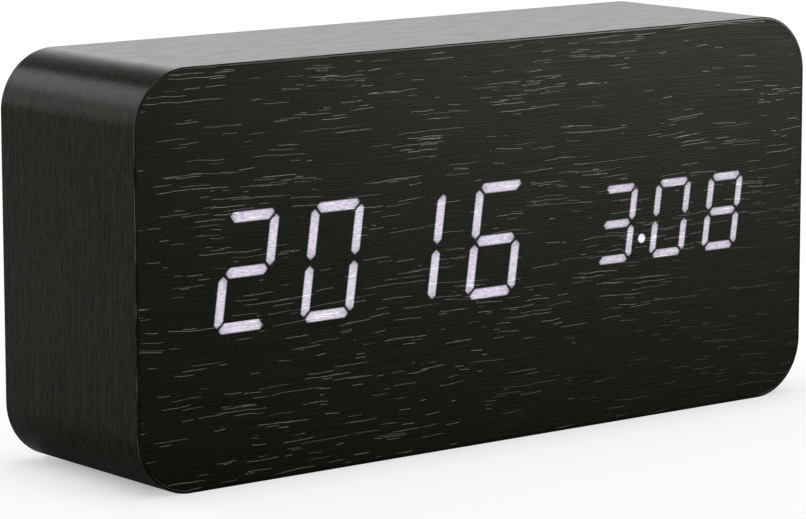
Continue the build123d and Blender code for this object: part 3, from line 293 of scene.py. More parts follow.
def makeDustSpecks():  # a few bright grains of dust, pitch and size in mm
    core = 0.4  # share of a grain that is full
    group, given, wanted = newGroup(
        "dustSpecks", {"Place": (0, 0, 0), "Pitch": 9.0, "Size": 0.12, "Share": 0.2}, "Specks")
    spaced = vectorCalc(group, "DIVIDE", given["Place"], given["Pitch"])
    cells = addNode(group, "TexVoronoi", {"Vector": spaced, "Scale": 1.0}).outputs
    draws = addNode(group, "SeparateColor", {0: cells["Color"]}).outputs
    away = times(group, cells["Distance"], given["Pitch"])
    grain = spread(group, away, given["Size"], times(group, given["Size"], core))
    shown = calc(group, "LESS_THAN", draws[0], given["Share"])
    plug(group, times(group, grain, shown), wanted["Specks"])
    return group


dustSpecks = makeDustSpecks()


def makeMouldedSkin():  # fine spark texture of a mould, with handling marks
    markSize = 9.0  # mm
    group, given, wanted = newGroup("mouldedSkin", {"Place": (0, 0, 0), "Grit": 0.25}, "Grit", "Marks")
    plug(group, noise(group, given["Place"], given["Grit"], 3.0), wanted["Grit"])
    plug(group, spread(group, noise(group, given["Place"], markSize, 4.0), *noiseSpan), wanted["Marks"])
    return group


mouldedSkin = makeMouldedSkin()
print("shared effects made:", len(bpy.data.node_groups))


# black stained veneer

wrapLow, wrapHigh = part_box("wrap_veneer")
frontLow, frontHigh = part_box("front_veneer")
veneerThick = frontLow.x - wrapLow.x

caseForm = {
    "radius": 10.5 * mm,  # corners of the block
    "edge": 0.2 * mm,  # rounding along the edges of the strip
    "seam": 0.06 * mm,  # eased edge where two veneers meet
    "steps": 32,  # flats around a corner
    "edgeSteps": 5,
    "edgeHold": 1.6, "cornerHold": 3.0,  # where extra rows keep the flats flat, times the edge
    "smoothTo": 40,  # degrees
}
cornerX = wrapHigh.x - caseForm["radius"]
cornerLow = wrapLow.z + caseForm["radius"]
cornerHigh = wrapHigh.z - caseForm["radius"]

veneerLook = {  # of all veneers
    "fibreShare": 0.5, "mottleShare": 0.5, "toneRange": (0.38, 0.62),  # what the tone is made of
    "glossTint": (0.95, 1.0, 0.86, 1), "dust": {"Pitch": 11.0, "Size": 0.13, "Share": 0.05},
}
frontLook = veneerLook | {
    "stain": (0.0004, 0.0007, 0.0001, 1), "stainPale": (0.0026, 0.0035, 0.0009, 1), "streak": 0.0,
    "roughness": (0.31, 0.37), "ior": 1.083, "depth": 0.05, "bend": 2.6, "shift": (0.0, 0.0),  # mm
    "pore": (0.108, 0.111, 0.100, 1), "pores": 1.0, "poreLength": 1.0, "poreWidth": 0.11,  # share, share, mm
    "poreShine": 0.20,  # the lines catch the light
    "poreShadeLean": (0.45, -0.89), "poreShadeRange": (-16.0, 10.0), "poreShadeShare": 0.40,  # painted shade: pale pores and their coat fainter lower right, mm
    "speck": (0.60, 0.60, 0.58, 1), "glowRange": (0.30, 0.66),
    "glow": (0.53, 0.47, 0.60, 1), "glowPale": (0.82, 0.755, 0.885, 1), "glowPore": (1.25, 1.22, 1.25, 1),
}
# the rear drops the glow, the painted shade on the pores and the pore coat
rearLook = {k: v for k, v in frontLook.items() if not k.startswith(("glow", "poreShade", "poreShine"))} | {
    "stain": (0.0024, 0.0030, 0.0018, 1), "stainPale": (0.0095, 0.0108, 0.0080, 1),
    "pore": (0.052, 0.053, 0.047, 1), "ior": 1.22, "shift": (310.0, 140.0),
}
wrapLook = veneerLook | {
    "stain": (0.0024, 0.0032, 0.0014, 1), "stainPale": (0.0190, 0.0220, 0.0145, 1), "streak": 0.25,
    "roughness": (0.235, 0.265), "ior": 1.115, "depth": 0.01, "bend": 1.2, "shift": (70.0, 30.0),
    "pore": (0.0008, 0.0010, 0.0005, 1), "pores": 1.6, "poreLength": 0.3, "poreWidth": 0.24,
    "speck": (0.5, 0.5, 0.48, 1),
    "cut": (0.0007, 0.0010, 0.0003, 1), "cutTurn": (0.5, 0.8),  # how far a face looks to the front or rear
    # the edge rounding is paler in patches: rubbed wear and a painted highlight
    "rubHighlight": (0.13, 0.135, 0.12, 1), "rubHighlightTurn": (0.12, 0.35), "rubHighlightEnd": (0.85, 0.6),
    "rubHighlightSize": 7.0, "rubHighlightRange": (0.46, 0.62),
    "wax": 0.10, "waxTurn": (0.93, 0.99),  # how far a face looks up
}


def veneerMaterial(name, look, aroundCase=False):
    material, tree, sockets, place = newMaterial(name)
    if aroundCase:
        corners = {"Place": place, "Corner X": cornerX / mm, "Corner Low": cornerLow / mm,
                   "Corner High": cornerHigh / mm, "Radius": caseForm["radius"] / mm}
        along, across = useGroup(tree, girth, corners)
    else:
        along, _, across = splitPlace(tree, place)
    shiftX, shiftY = look["shift"]
    values = {"Along": calc(tree, "ADD", along, shiftX), "Across": calc(tree, "ADD", across, shiftY),
              "Bend": look["bend"], "Pore Share": look["pores"], "Pore Length": look["poreLength"],
              "Pore Width": look["poreWidth"]}
    grain = useGroup(tree, veneerGrain, values)
    pores = grain["Pores"]
    if "poreShadeLean" in look:  # painted shade: the pale pores and their coat fade towards the lower right
        leaning = times(tree, across, look["poreShadeLean"][1])
        leaning = calc(tree, "MULTIPLY_ADD", along, look["poreShadeLean"][0], leaning)
        poreShadeFade = spread(tree, leaning, *look["poreShadeRange"], 1.0, look["poreShadeShare"])
        pores = times(tree, pores, poreShadeFade)
    tone = times(tree, grain["Mottle"], look["mottleShare"])
    tone = calc(tree, "MULTIPLY_ADD", grain["Fibre"], look["fibreShare"], tone)
    tone = addNode(tree, "Mix", {0: look["streak"], 2: tone, 3: grain["Streak"]}).outputs[0]
    stain = blendColour(tree, spread(tree, tone, *look["toneRange"]), look["stain"], look["stainPale"])
    stain = blendColour(tree, pores, stain, look["pore"])
    shine = times(tree, pores, look["poreShine"]) if "poreShine" in look else None
    if aroundCase:  # cut edges drink more stain, their rounding is paler in patches as rubbed wear and painted highlight, wax is uneven on the top
        _, facing, upward = faceTurn(tree)
        aside = calc(tree, "ABSOLUTE", facing)
        stain = blendColour(tree, spread(tree, aside, *look["cutTurn"]), stain, look["cut"])
        rubHighlightPatch = spread(tree, noise(tree, place, look["rubHighlightSize"], 4.0), *look["rubHighlightRange"])
        rounding = times(tree, spread(tree, aside, *look["rubHighlightTurn"]), spread(tree, aside, *look["rubHighlightEnd"]))
        stain = blendColour(tree, times(tree, rubHighlightPatch, rounding), stain, look["rubHighlight"])
        shine = times(tree, grain["Wax"], spread(tree, upward, *look["waxTurn"], 0.0, look["wax"]))
    specks = useGroup(tree, dustSpecks, {"Place": place} | look["dust"])["Specks"]
    stain = blendColour(tree, specks, stain, look["speck"])
    dress(tree, sockets, look, stain, grain["Streak"], grain["Height"])
    sockets["IOR"].default_value = look["ior"]
    sockets["Specular Tint"].default_value = look["glossTint"]
    if shine:
        plug(tree, shine, sockets["Coat Weight"])
        sockets["Coat Roughness"].default_value = look["roughness"][0]
    if "glow" in look:  # light that comes through from the bars
        lit = addNode(tree, "Attribute", attribute_name="glow").outputs["Fac"]
        blotch = spread(tree, grain["Mottle"], *look["glowRange"])
        light = blendColour(tree, blotch, look["glow"], look["glowPale"])
        light = blendColour(tree, grain["Pores"], light, look["glowPore"])
        level = addNode(tree, "CombineColor", {0: lit, 1: lit, 2: lit}).outputs[0]
        plug(tree, blendColour(tree, 1.0, light, level, "MULTIPLY"), sockets["Emission Color"])
        sockets["Emission Strength"].default_value = 1.0
    return material


frontFinish = veneerMaterial("frontVeneerStain", frontLook)
rearFinish = veneerMaterial("rearVeneerStain", rearLook)
wrapFinish = veneerMaterial("wrapVeneerStain", wrapLook, aroundCase=True)


def addObject(name, data):
    made = bpy.data.objects.new(name, data)
    bpy.context.scene.collection.objects.link(made)
    return made


def paint(material, *names):
    for name in names:
        for slot in nodes[name].material_slots:
            slot.material = material


def newPiece(name, verts, faces, material, body="clock_case"):
    mesh = bpy.data.meshes.new(name)
    mesh.from_pydata([tuple(v) for v in verts], [], faces)
    mesh.validate()
    mesh.update()
    piece = addObject(name, mesh)
    mesh.materials.append(material)
    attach(piece, body)
    return piece


def quarterTurn(start):  # ways out over a corner, clockwise as seen from the front
    steps = caseForm["steps"]
    turns = [math.radians(start - 90 * k / steps) for k in range(steps + 1)]
    return [(math.cos(t), math.sin(t)) for t in turns]


def roundedFace(inset):  # outline of the block's face, drawn in from its sides
    radius = caseForm["radius"] - inset
    corners = ((-cornerX, cornerHigh, 180), (cornerX, cornerHigh, 90),
               (cornerX, cornerLow, 0), (-cornerX, cornerLow, -90))
    points = []
    for x, z, start in corners:
        points += [(x + radius * outX, z + radius * outZ) for outX, outZ in quarterTurn(start)]
    return points


def frontOutlines(name):  # loops around the front faces of a node's solids
    close, digits = 1e-6, 7  # m, and decimals at which two corners are one
    mesh = nodes[name].data
    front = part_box(name)[0].y
    sides = {}
    for face in mesh.polygons:
        points = [mesh.vertices[i].co for i in face.vertices]
        if all(abs(p.y - front) < close for p in points):
            keys = [(round(p.x, digits), round(p.z, digits)) for p in points]
            for a, b in zip(keys, keys[1:] + keys[:1]):
                sides[(a, b)] = True
    following = {a: b for a, b in sides if (b, a) not in sides}
    loops = []
    while following:
        point, after = following.popitem()
        loop = [point]
        while after in following:
            loop.append(after)
            after = following.pop(after)
        loops.append(loop)
    return loops


def grown(loop, distance):  # an outline moved out, or in where the distance is negative
    sharpest = 0.3  # keeps a sharp corner from running off
    area = sum(a[0] * b[1] - b[0] * a[1] for a, b in zip(loop, loop[1:] + loop[:1]))
    side = distance if area > 0 else -distance
    moved = []
    for before, point, after in zip(loop[-1:] + loop[:-1], loop, loop[1:] + loop[:1]):
        first = Vector((point[0] - before[0], point[1] - before[1])).normalized()
        second = Vector((after[0] - point[0], after[1] - point[1])).normalized()
        out = Vector((first.y + second.y, -first.x - second.x))
        step = out * side / max(1.0 + first.dot(second), sharpest)
        moved.append((point[0] + step.x, point[1] + step.y))
    return moved


def softLoop(loop, reach, pitch):  # corners rounded over a reach, long sides cut into steps
    most = 0.45  # share of a side that a corner may take
    bezier = [((1 - t) ** 2, 2 * t * (1 - t), t ** 2) for t in (0.0, 0.25, 0.5, 0.75, 1.0)]
    points = []
    for before, point, after in zip(loop[-1:] + loop[:-1], loop, loop[1:] + loop[:1]):
        corner, back, ahead = Vector(point), Vector(before), Vector(after)
        start = corner + (back - corner).normalized() * min(reach, (back - corner).length * most)
        end = corner + (ahead - corner).normalized() * min(reach, (ahead - corner).length * most)
        points += [start * a + corner * b + end * c for a, b, c in bezier]
    cut = []
    for point, after in zip(points, points[1:] + points[:1]):
        parts = max(1, round((after - point).length / pitch))
        cut += [point.lerp(after, k / parts) for k in range(parts)]
    return [tuple(p) for p in cut]


def barAxis(bar):  # middle of a bar, and from there to its farthest corner
    middle = sum((Vector(p) for p in bar), Vector((0, 0))) / len(bar)
    return middle, max((Vector(p) - middle for p in bar), key=lambda v: v.length)


def bluntBar(bar, look):  # a bar's outline without its sharp tips
    middle, along = barAxis(bar)
    if along.length < look["pointReach"]:
        return bar
    limit = along.length * look["blunt"]
    along.normalize()
    cut = []
    for point, after in zip(bar, bar[1:] + bar[:1]):
        here, there = Vector(point), Vector(after)
        start, end = (here - middle).dot(along), (there - middle).dot(along)
        if abs(start) <= limit:
            cut.append(point)
        if (abs(start) > limit) != (abs(end) > limit):
            crossing = math.copysign(limit, start if abs(start) > limit else end)
            cut.append(tuple(here.lerp(there, (crossing - start) / (end - start))))
    return cut


def endFade(bar, loop, look):  # a bar is dimmer towards its two ends, the round point is bright all over
    middle, far = barAxis(bar)
    if far.length < look["pointReach"]:
        return [look["pointGlow"]] * len(loop)
    along = far.normalized()
    shares = [abs((Vector(p) - middle).dot(along)) / far.length for p in loop]
    fades = []
    for share in shares:
        end = max((share - look["fadeFrom"]) / (1 - look["fadeFrom"]), 0.0)
        tip = max((share - look["tipFrom"]) / (1 - look["tipFrom"]), 0.0)
        fades.append((1.0 - look["fadeDrop"] * min(end, 1.0) ** 2) * (1.0 - look["tipDrop"] * min(tip, 1.0)))
    return fades


litBars = {
    "blurOut": 0.02 * mm, "blurIn": 0.20 * mm, "core": 0.40 * mm,  # soft edge of a lit bar
    "edgeGlow": 0.88, "round": 1.2 * mm, "step": 1.2 * mm, "smallGlow": 0.9, "blunt": 0.985,
    "fadeFrom": 0.3, "fadeDrop": 0.38,  # share of a bar's half length, and of its light
    "tipFrom": 0.86, "tipDrop": 0.65,
    "pointReach": 1.6 * mm, "pointGlow": 1.4,  # the decimal point
}


def buildFrontVeneer():
    face = roundedFace(veneerThick + caseForm["seam"])
    edge = roundedFace(veneerThick)
    flat, glow, outlines = [], [], []

    def addLoop(loop, values):
        outlines.append(list(range(len(flat), len(flat) + len(loop))))
        flat.extend(Vector(p) for p in loop)
        glow.extend(values)

    addLoop(face, [0.0] * len(face))
    bars = [(loop, 1.0) for loop in frontOutlines("lit_large_segments")]
    bars += [(loop, litBars["smallGlow"]) for loop in frontOutlines("lit_small_segments")]
    rings = ((litBars["blurOut"], 0.0), (-litBars["blurIn"], litBars["edgeGlow"]), (-litBars["core"], 1.0))
    for bar, light in bars:
        for distance, level in rings:
            loop = softLoop(grown(bluntBar(bar, litBars), distance), litBars["round"], litBars["step"])
            fades = endFade(bar, loop, litBars)
            addLoop(loop, [level * light * fade for fade in fades])
    edges = [pair for loop in outlines for pair in zip(loop, loop[1:] + loop[:1])]
    inside, weld = 1, 1e-9  # kept side of the outlines, and m
    spots, _, tris, origin, _, _ = delaunay_2d_cdt(flat, edges, [], inside, weld)
    lit = [max((glow[i] for i in found), default=0.0) for found in origin]
    front, back = frontLow.y, frontHigh.y
    verts = [(p.x, front, p.y) for p in spots]
    faces = [list(reversed(t)) if facesBack(spots, t) else list(t) for t in tris]
    rim = [next(k for k, found in enumerate(origin) if i in found) for i in outlines[0]]
    count = len(face)
    rings = [rim]
    for y in (front + caseForm["seam"], back):
        rings.append(list(range(len(verts), len(verts) + count)))
        verts += [(x, y, z) for x, z in edge]
        lit += [0.0] * count
    for ahead, behind in zip(rings, rings[1:]):
        faces += [(ahead[k], ahead[k - 1], behind[k - 1], behind[k]) for k in range(count)]
    faces.append(list(reversed(rings[-1])))
    piece = newPiece("frontVeneer", verts, faces, frontFinish)
    piece.data.attributes.new("glow", "FLOAT", "POINT").data.foreach_set("value", lit)
    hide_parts("front_veneer")
    return len(bars)


def facesBack(spots, tri):  # a face that runs clockwise in x and z looks to the rear
    a, b, c = (spots[i] for i in tri[:3])
    return (b - a).cross(c - a) < 0


def buildWrapVeneer():
    thick, edge, seam = veneerThick, caseForm["edge"], caseForm["seam"]
    front, back = wrapLow.y, wrapHigh.y
    ease = [math.radians(90 * k / caseForm["edgeSteps"]) for k in range(caseForm["edgeSteps"] + 1)]
    # depth under the face, and distance from the end
    rise = [(edge - edge * math.sin(t), edge - edge * math.cos(t)) for t in ease]
    rim = [(thick, seam), (thick - seam, 0.0)] + rise + [(0.0, edge * caseForm["edgeHold"])]
    profile = [(depth, front + reach) for depth, reach in rim]
    profile += [(depth, back - reach) for depth, reach in reversed(rim)]
    stations = []  # middle of turning, direction outwards, for each step around the case
    beside = edge * caseForm["cornerHold"]

    def turn(x, z, start):
        stations.extend((x, z, *out) for out in quarterTurn(start))

    turn(-cornerX, cornerLow, 270)
    stations += [(-cornerX, cornerLow + beside, -1, 0), (-cornerX, cornerHigh - beside, -1, 0)]
    turn(-cornerX, cornerHigh, 180)
    stations += [(-cornerX + beside, cornerHigh, 0, 1), (cornerX - beside, cornerHigh, 0, 1)]
    turn(cornerX, cornerHigh, 90)
    stations += [(cornerX, cornerHigh - beside, 1, 0), (cornerX, cornerLow + beside, 1, 0)]
    turn(cornerX, cornerLow, 0)
    verts, faces = [], []
    for x, z, outX, outZ in stations:
        for depth, y in profile:
            reach = caseForm["radius"] - depth
            verts.append((x + outX * reach, y, z + outZ * reach))
    size = len(profile)
    for s in range(len(stations) - 1):
        here, there = s * size, (s + 1) * size
        for k in range(size):
            after = (k + 1) % size
            faces.append((here + k, here + after, there + after, there + k))
    last = (len(stations) - 1) * size
    faces.append(list(range(size - 1, -1, -1)))
    faces.append(list(range(last, last + size)))
    piece = newPiece("wrapVeneer", verts, faces, wrapFinish)
    piece.data.polygons.foreach_set("use_smooth", [True] * len(piece.data.polygons))
    piece.data.set_sharp_from_angle(angle=math.radians(caseForm["smoothTo"]))
    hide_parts("wrap_veneer")


barCount = buildFrontVeneer()
buildWrapVeneer()
paint(rearFinish, "rear_veneer")
paint(wrapFinish, "base_veneer")
print("veneers made,", barCount, "lit bars")


# boards and dowels

boardLook = {
    "tan": (0.36, 0.25, 0.15, 1), "pale": (0.50, 0.37, 0.24, 1), "dark": (0.21, 0.135, 0.075, 1),
    "black": (0.008, 0.008, 0.007, 1), "roughness": (0.75, 0.92), "depth": 0.08,
    "fluff": 0.7, "fibre": (2.6, 0.5, 0.5), "fibreRange": (0.60, 0.72),  # sizes in mm
    "dyeDepth": 3.2, "dyeEdge": 0.4, "soak": 0.5,  # mm, the depth from the panel's face
}


def boardMaterial(name, look, dyedFrom=None):  # dyed black behind that y, in mm
    material, tree, sockets, place = newMaterial(name)
    fluff = noise(tree, place, look["fluff"], 4.0)
    fibres = noise(tree, place, look["fibre"], 3.0)
    tone = blendColour(tree, spread(tree, fluff, *noiseSpan), look["tan"], look["pale"])
    tone = blendColour(tree, spread(tree, fibres, *look["fibreRange"]), tone, look["dark"])
    if dyedFrom is not None:
        soak = calc(tree, "MULTIPLY_ADD", fluff, look["soak"], splitPlace(tree, place)[1])
        dyed = spread(tree, soak, dyedFrom, dyedFrom + look["dyeEdge"])
        tone = blendColour(tree, dyed, tone, look["black"])
    dress(tree, sockets, look, tone, fluff, fluff)
    return material


paint(boardMaterial("rawFibreboard", boardLook),
      "left_side_block", "right_side_block", "top_board", "bottom_board", "front_board")
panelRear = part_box("rear_panel")[1].y / mm
paint(boardMaterial("dyedFibreboard", boardLook, panelRear - boardLook["dyeDepth"]), "rear_board")

dowelLook = {
    "light": (0.62, 0.45, 0.28, 1), "dark": (0.45, 0.30, 0.17, 1), "roughness": (0.55, 0.75), "depth": 0.05,
    "line": (9, 0.4, 0.4), "ray": (1.2, 0.15, 0.15), "rayRange": (0.62, 0.7),
}


def dowelMaterial(name, look):  # turned wood with short rays, along x
    material, tree, sockets, place = newMaterial(name)
    lines = noise(tree, place, look["line"], 3.0)
    rays = noise(tree, place, look["ray"])
    tone = blendColour(tree, spread(tree, lines, *noiseSpan), look["light"], look["dark"])
    tone = blendColour(tree, spread(tree, rays, *look["rayRange"]), tone, look["dark"])
    dress(tree, sockets, look, tone, lines, lines)
    return material


paint(dowelMaterial("turnedDowel", dowelLook), "corner_dowels")
print("boards and dowels finished")


# moulded plastics

def plasticMaterial(name, look, node=None):
    material, tree, sockets, place = newMaterial(name)
    skin = useGroup(tree, mouldedSkin, {"Place": place, "Grit": look["grit"]})
    rub = useGroup(tree, edgeRub, {"Place": place, "Radius": look["rub"]})["Rub"]
    tone = blendColour(tree, skin["Marks"], look["colour"], look["faded"])
    tone = blendColour(tree, times(tree, rub, rubForm["tone"]), tone, look["worn"])
    if node:  # its sunk symbol is filled with pale ink
        low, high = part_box(node)
        x, y, z = splitPlace(tree, place)
        nearX = calc(tree, "COMPARE", x, (low.x + high.x) / 2 / mm, look["symbolReach"])
        nearZ = calc(tree, "COMPARE", z, (low.z + high.z) / 2 / mm, look["symbolReach"])
        floor = high.y / mm - look["symbolDepth"] - look["symbolSink"]
        sunk = calc(tree, "COMPARE", y, floor, look["symbolSink"])
        mask = times(tree, times(tree, nearX, nearZ), sunk)
        mask = times(tree, mask, calc(tree, "GREATER_THAN", faceTurn(tree)[1], facingFrom))
        tone = blendColour(tree, mask, tone, look["ink"])
    dress(tree, sockets, look, tone, skin["Marks"], skin["Grit"], wholeSpan, (rub, rubForm["gloss"]))
    return material


panelLook = {
    "colour": (0.014, 0.014, 0.015, 1), "faded": (0.019, 0.019, 0.020, 1), "worn": (0.05, 0.05, 0.052, 1),
    "roughness": (0.42, 0.58), "grit": 0.22, "depth": 0.035, "rub": 0.3,
}
paint(plasticMaterial("sparkedBlackPlastic", panelLook),
      "rear_panel", "battery_door", "battery_tray", "backup_cell_holder")

buttonLook = {
    "colour": (0.022, 0.022, 0.023, 1), "faded": (0.030, 0.030, 0.031, 1), "worn": (0.09, 0.09, 0.09, 1),
    "roughness": (0.30, 0.42), "grit": 0.35, "depth": 0.012, "rub": 0.35,
    "ink": (0.62, 0.62, 0.60, 1),
    "symbolReach": 1.9, "symbolDepth": 0.12, "symbolSink": 0.5,  # mm, the depths below the face
}
for buttonNode in ("set_button", "up_button", "down_button"):
    paint(plasticMaterial(buttonNode + "Plastic", buttonLook, buttonNode), buttonNode)

switchLook = panelLook | {
    "colour": (0.02, 0.02, 0.022, 1), "faded": (0.028, 0.028, 0.03, 1), "grit": 0.4, "depth": 0.01,
}
paint(plasticMaterial("switchPlastic", switchLook),
      "button_switches", "set_plunger", "up_plunger", "down_plunger", "buzzer")

housingLook = panelLook | {
    "colour": (0.035, 0.035, 0.037, 1), "faded": (0.045, 0.045, 0.047, 1), "depth": 0.015,
}
paint(plasticMaterial("digitHousing", housingLook), "large_digit_block", "small_digit_block")

nylonLook = {
    "colour": (0.72, 0.70, 0.63, 1), "faded": (0.78, 0.76, 0.70, 1), "worn": (0.84, 0.83, 0.79, 1),
    "roughness": (0.40, 0.55), "grit": 0.5, "depth": 0.01, "rub": 0.2,
}
paint(plasticMaterial("naturalNylon", nylonLook),
      "board_spacers", "front_ribbon_socket", "rear_ribbon_socket")

sensorLook = switchLook | {
    "colour": (0.012, 0.013, 0.018, 1), "faded": (0.018, 0.019, 0.026, 1), "roughness": (0.2, 0.35),
}
paint(plasticMaterial("sensorEpoxy", sensorLook), "temperature_sensor")

tongueLook = switchLook | {"colour": (0.010, 0.010, 0.010, 1), "faded": (0.014, 0.014, 0.014, 1)}
paint(plasticMaterial("socketTongue", tongueLook), "power_socket_tongue")

leadLooks = {"negative_lead": ((0.012, 0.012, 0.013, 1), (0.03, 0.03, 0.03, 1)),
             "positive_lead": ((0.42, 0.012, 0.010, 1), (0.55, 0.03, 0.025, 1))}
for leadNode, (leadColour, leadFaded) in leadLooks.items():
    leadLook = switchLook | {"colour": leadColour, "faded": leadFaded, "worn": leadFaded, "grit": 0.8}
    paint(plasticMaterial(leadNode + "Sleeve", leadLook), leadNode)
print("moulded plastics finished")


# display and boards

resinLook = {
    "milk": (0.78, 0.78, 0.80, 1), "cloud": (0.66, 0.66, 0.70, 1), "roughness": (0.35, 0.5),
    "cloudSize": 2.0, "depth": 0.02,  # mm
    "light": (0.90, 0.86, 0.98, 1), "lightFar": (0.78, 0.72, 0.90, 1), "glow": 0.9,
}


def resinMaterial(name, look, lit):  # clouded light guide
    material, tree, sockets, place = newMaterial(name)
    cloud = noise(tree, place, look["cloudSize"], 4.0)
    clouded = spread(tree, cloud, *noiseSpan)
    dress(tree, sockets, look, blendColour(tree, clouded, look["milk"], look["cloud"]), cloud, cloud)
    if lit:
        plug(tree, blendColour(tree, clouded, look["light"], look["lightFar"]), sockets["Emission Color"])
        sockets["Emission Strength"].default_value = look["glow"]
    return material


paint(resinMaterial("litGuide", resinLook, True), "lit_large_segments", "lit_small_segments")
paint(resinMaterial("unlitGuide", resinLook, False), "dark_large_segments", "dark_small_segments")

filmLook = {
    "smoke": (0.018, 0.017, 0.019, 1), "thin": (0.028, 0.027, 0.030, 1), "roughness": (0.25, 0.38),
    "ripple": 12.0, "depth": 0.05,  # mm
}


def filmMaterial(name, look):
    material, tree, sockets, place = newMaterial(name)
    ripple = noise(tree, place, look["ripple"])
    dress(tree, sockets, look, blendColour(tree, ripple, look["smoke"], look["thin"]), ripple, ripple)
    return material


paint(filmMaterial("smokedFilm", filmLook), "diffuser_film")

ledLook = {
    "ceramic": (0.80, 0.79, 0.74, 1), "phosphor": (0.72, 0.55, 0.06, 1), "roughness": (0.35, 0.55),
    "speckle": 0.15, "tint": 0.8, "tintMore": 0.3,  # mm, shares of phosphor
}


def ledMaterial(name, look):  # the face that shines is phosphor yellow
    material, tree, sockets, place = newMaterial(name)
    speckle = noise(tree, place, look["speckle"])
    ahead = calc(tree, "LESS_THAN", faceTurn(tree)[1], -facingFrom)
    tint = times(tree, ahead, calc(tree, "MULTIPLY_ADD", speckle, look["tintMore"], look["tint"]))
    dress(tree, sockets, look, blendColour(tree, tint, look["ceramic"], look["phosphor"]), speckle)
    return material


paint(ledMaterial("whiteLed", ledLook), "segment_leds")

circuitLook = {
    "mask": (0.012, 0.075, 0.030, 1), "trace": (0.022, 0.135, 0.055, 1), "glass": (0.50, 0.44, 0.24, 1),
    "pitch": 1.27, "line": 0.22, "lineEdge": 0.04, "block": 7.0, "weave": 0.4, "depth": 0.03,  # mm
    "scatter": 0.8, "bareShare": 0.25, "uprightShare": 0.5, "roughness": (0.28, 0.42),
}


def circuitMaterial(name, look):  # runs of traces, level or upright from patch to patch
    material, tree, sockets, place = newMaterial(name)
    x, _, z = splitPlace(tree, place)
    patch = vectorCalc(tree, "DIVIDE", joinPlace(tree, x, z), (look["block"],) * 3)
    cells = addNode(tree, "TexVoronoi", {"Vector": patch, "Scale": 1.0, "Randomness": look["scatter"]},
                    voronoi_dimensions="2D", distance="CHEBYCHEV").outputs
    draw = addNode(tree, "SeparateColor", {0: cells["Color"]}).outputs
    level = calc(tree, "PINGPONG", z, look["pitch"] / 2)
    upright = calc(tree, "PINGPONG", x, look["pitch"] / 2)
    raised = calc(tree, "GREATER_THAN", draw[0], look["uprightShare"])
    run = addNode(tree, "Mix", {0: raised, 2: level, 3: upright}).outputs[0]
    trace = spread(tree, run, look["line"] + look["lineEdge"], look["line"] - look["lineEdge"])
    trace = times(tree, trace, calc(tree, "GREATER_THAN", draw[1], look["bareShare"]))
    tone = blendColour(tree, trace, look["mask"], look["trace"])
    facing = calc(tree, "ABSOLUTE", faceTurn(tree)[1])
    tone = blendColour(tree, calc(tree, "LESS_THAN", facing, facingFrom), tone, look["glass"])
    dress(tree, sockets, look, tone, noise(tree, place, look["weave"]), trace)
    return material


paint(circuitMaterial("solderMask", circuitLook), "display_board", "control_board")

chipLook = {
    "epoxy": (0.016, 0.016, 0.017, 1), "dust": (0.026, 0.026, 0.027, 1), "tin": (0.72, 0.71, 0.69, 1),
    "roughness": (0.45, 0.6), "tinGloss": -0.22, "grain": 0.12, "depth": 0.01,  # mm
    "bodyShare": 0.6,  # of a chip's whole width over its legs
    "resistorPitch": 4.0,  # mm between two columns
}


def chipMaterial(name, look, low, high, pitch=None):  # tinned beyond the moulded body
    material, tree, sockets, place = newMaterial(name)
    x, _, z = splitPlace(tree, place)
    if pitch:  # a row of small blocks, tinned at both ends
        away = calc(tree, "PINGPONG", calc(tree, "SUBTRACT", x, (low.x + high.x) / 2 / mm), pitch / 2)
        half = ((high.x - low.x) / mm - pitch) / 2
        body = calc(tree, "GREATER_THAN", away, pitch / 2 - half * look["bodyShare"])
    else:
        half = (high.z - low.z) / 2 / mm
        body = calc(tree, "COMPARE", z, (low.z + high.z) / 2 / mm, half * look["bodyShare"])
    tinned = calc(tree, "SUBTRACT", 1.0, body)
    grain = noise(tree, place, look["grain"])
    epoxy = blendColour(tree, grain, look["epoxy"], look["dust"])
    tone = blendColour(tree, tinned, epoxy, look["tin"])
    dress(tree, sockets, look, tone, grain, grain, more=(tinned, look["tinGloss"]))
    plug(tree, tinned, sockets["Metallic"])
    return material


for chipNode in ("controller_chip", "led_driver_chip"):
    paint(chipMaterial(chipNode + "Epoxy", chipLook, *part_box(chipNode)), chipNode)
paint(chipMaterial("resistorBody", chipLook, *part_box("chip_resistors"), chipLook["resistorPitch"]),
      "chip_resistors")

ribbonLook = {
    "grey": (0.42, 0.42, 0.44, 1), "groove": (0.27, 0.27, 0.29, 1), "first": (0.45, 0.05, 0.045, 1),
    "pitch": 1.27, "grooveWidth": 0.2, "ribRise": 0.4, "depth": 0.15, "haze": 3.0,  # mm
    "roughness": (0.45, 0.6),
}


def ribbonMaterial(name, look):  # ribs along the conductors, the first one marked
    material, tree, sockets, place = newMaterial(name)
    low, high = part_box("ribbon_cable")
    x = calc(tree, "SUBTRACT", splitPlace(tree, place)[0], low.x / mm)
    rib = calc(tree, "PINGPONG", x, look["pitch"] / 2)
    tone = blendColour(tree, spread(tree, rib, 0.0, look["grooveWidth"]), look["groove"], look["grey"])
    marked = calc(tree, "LESS_THAN", x, look["pitch"])
    tone = blendColour(tree, marked, tone, look["first"])
    height = spread(tree, rib, 0.0, look["ribRise"])
    dress(tree, sockets, look, tone, noise(tree, place, look["haze"]), height)
    return material


paint(ribbonMaterial("ribbonSleeve", ribbonLook), "ribbon_cable")
print("display and boards finished")


# metals

metalHaze = {"size": 2.5, "range": (0.4, 0.75), "scratchRough": 0.12}  # size in mm


def metalMaterial(name, look):
    material, tree, sockets, place = newMaterial(name)
    haze = noise(tree, place, metalHaze["size"], 4.0)
    scratch = noise(tree, place, look["scratch"])
    tone = blendColour(tree, spread(tree, haze, *metalHaze["range"]), look["bright"], look["dull"])
    dress(tree, sockets, look, tone, haze, scratch, more=(scratch, metalHaze["scratchRough"]))
    sockets["Metallic"].default_value = 1.0
    return material


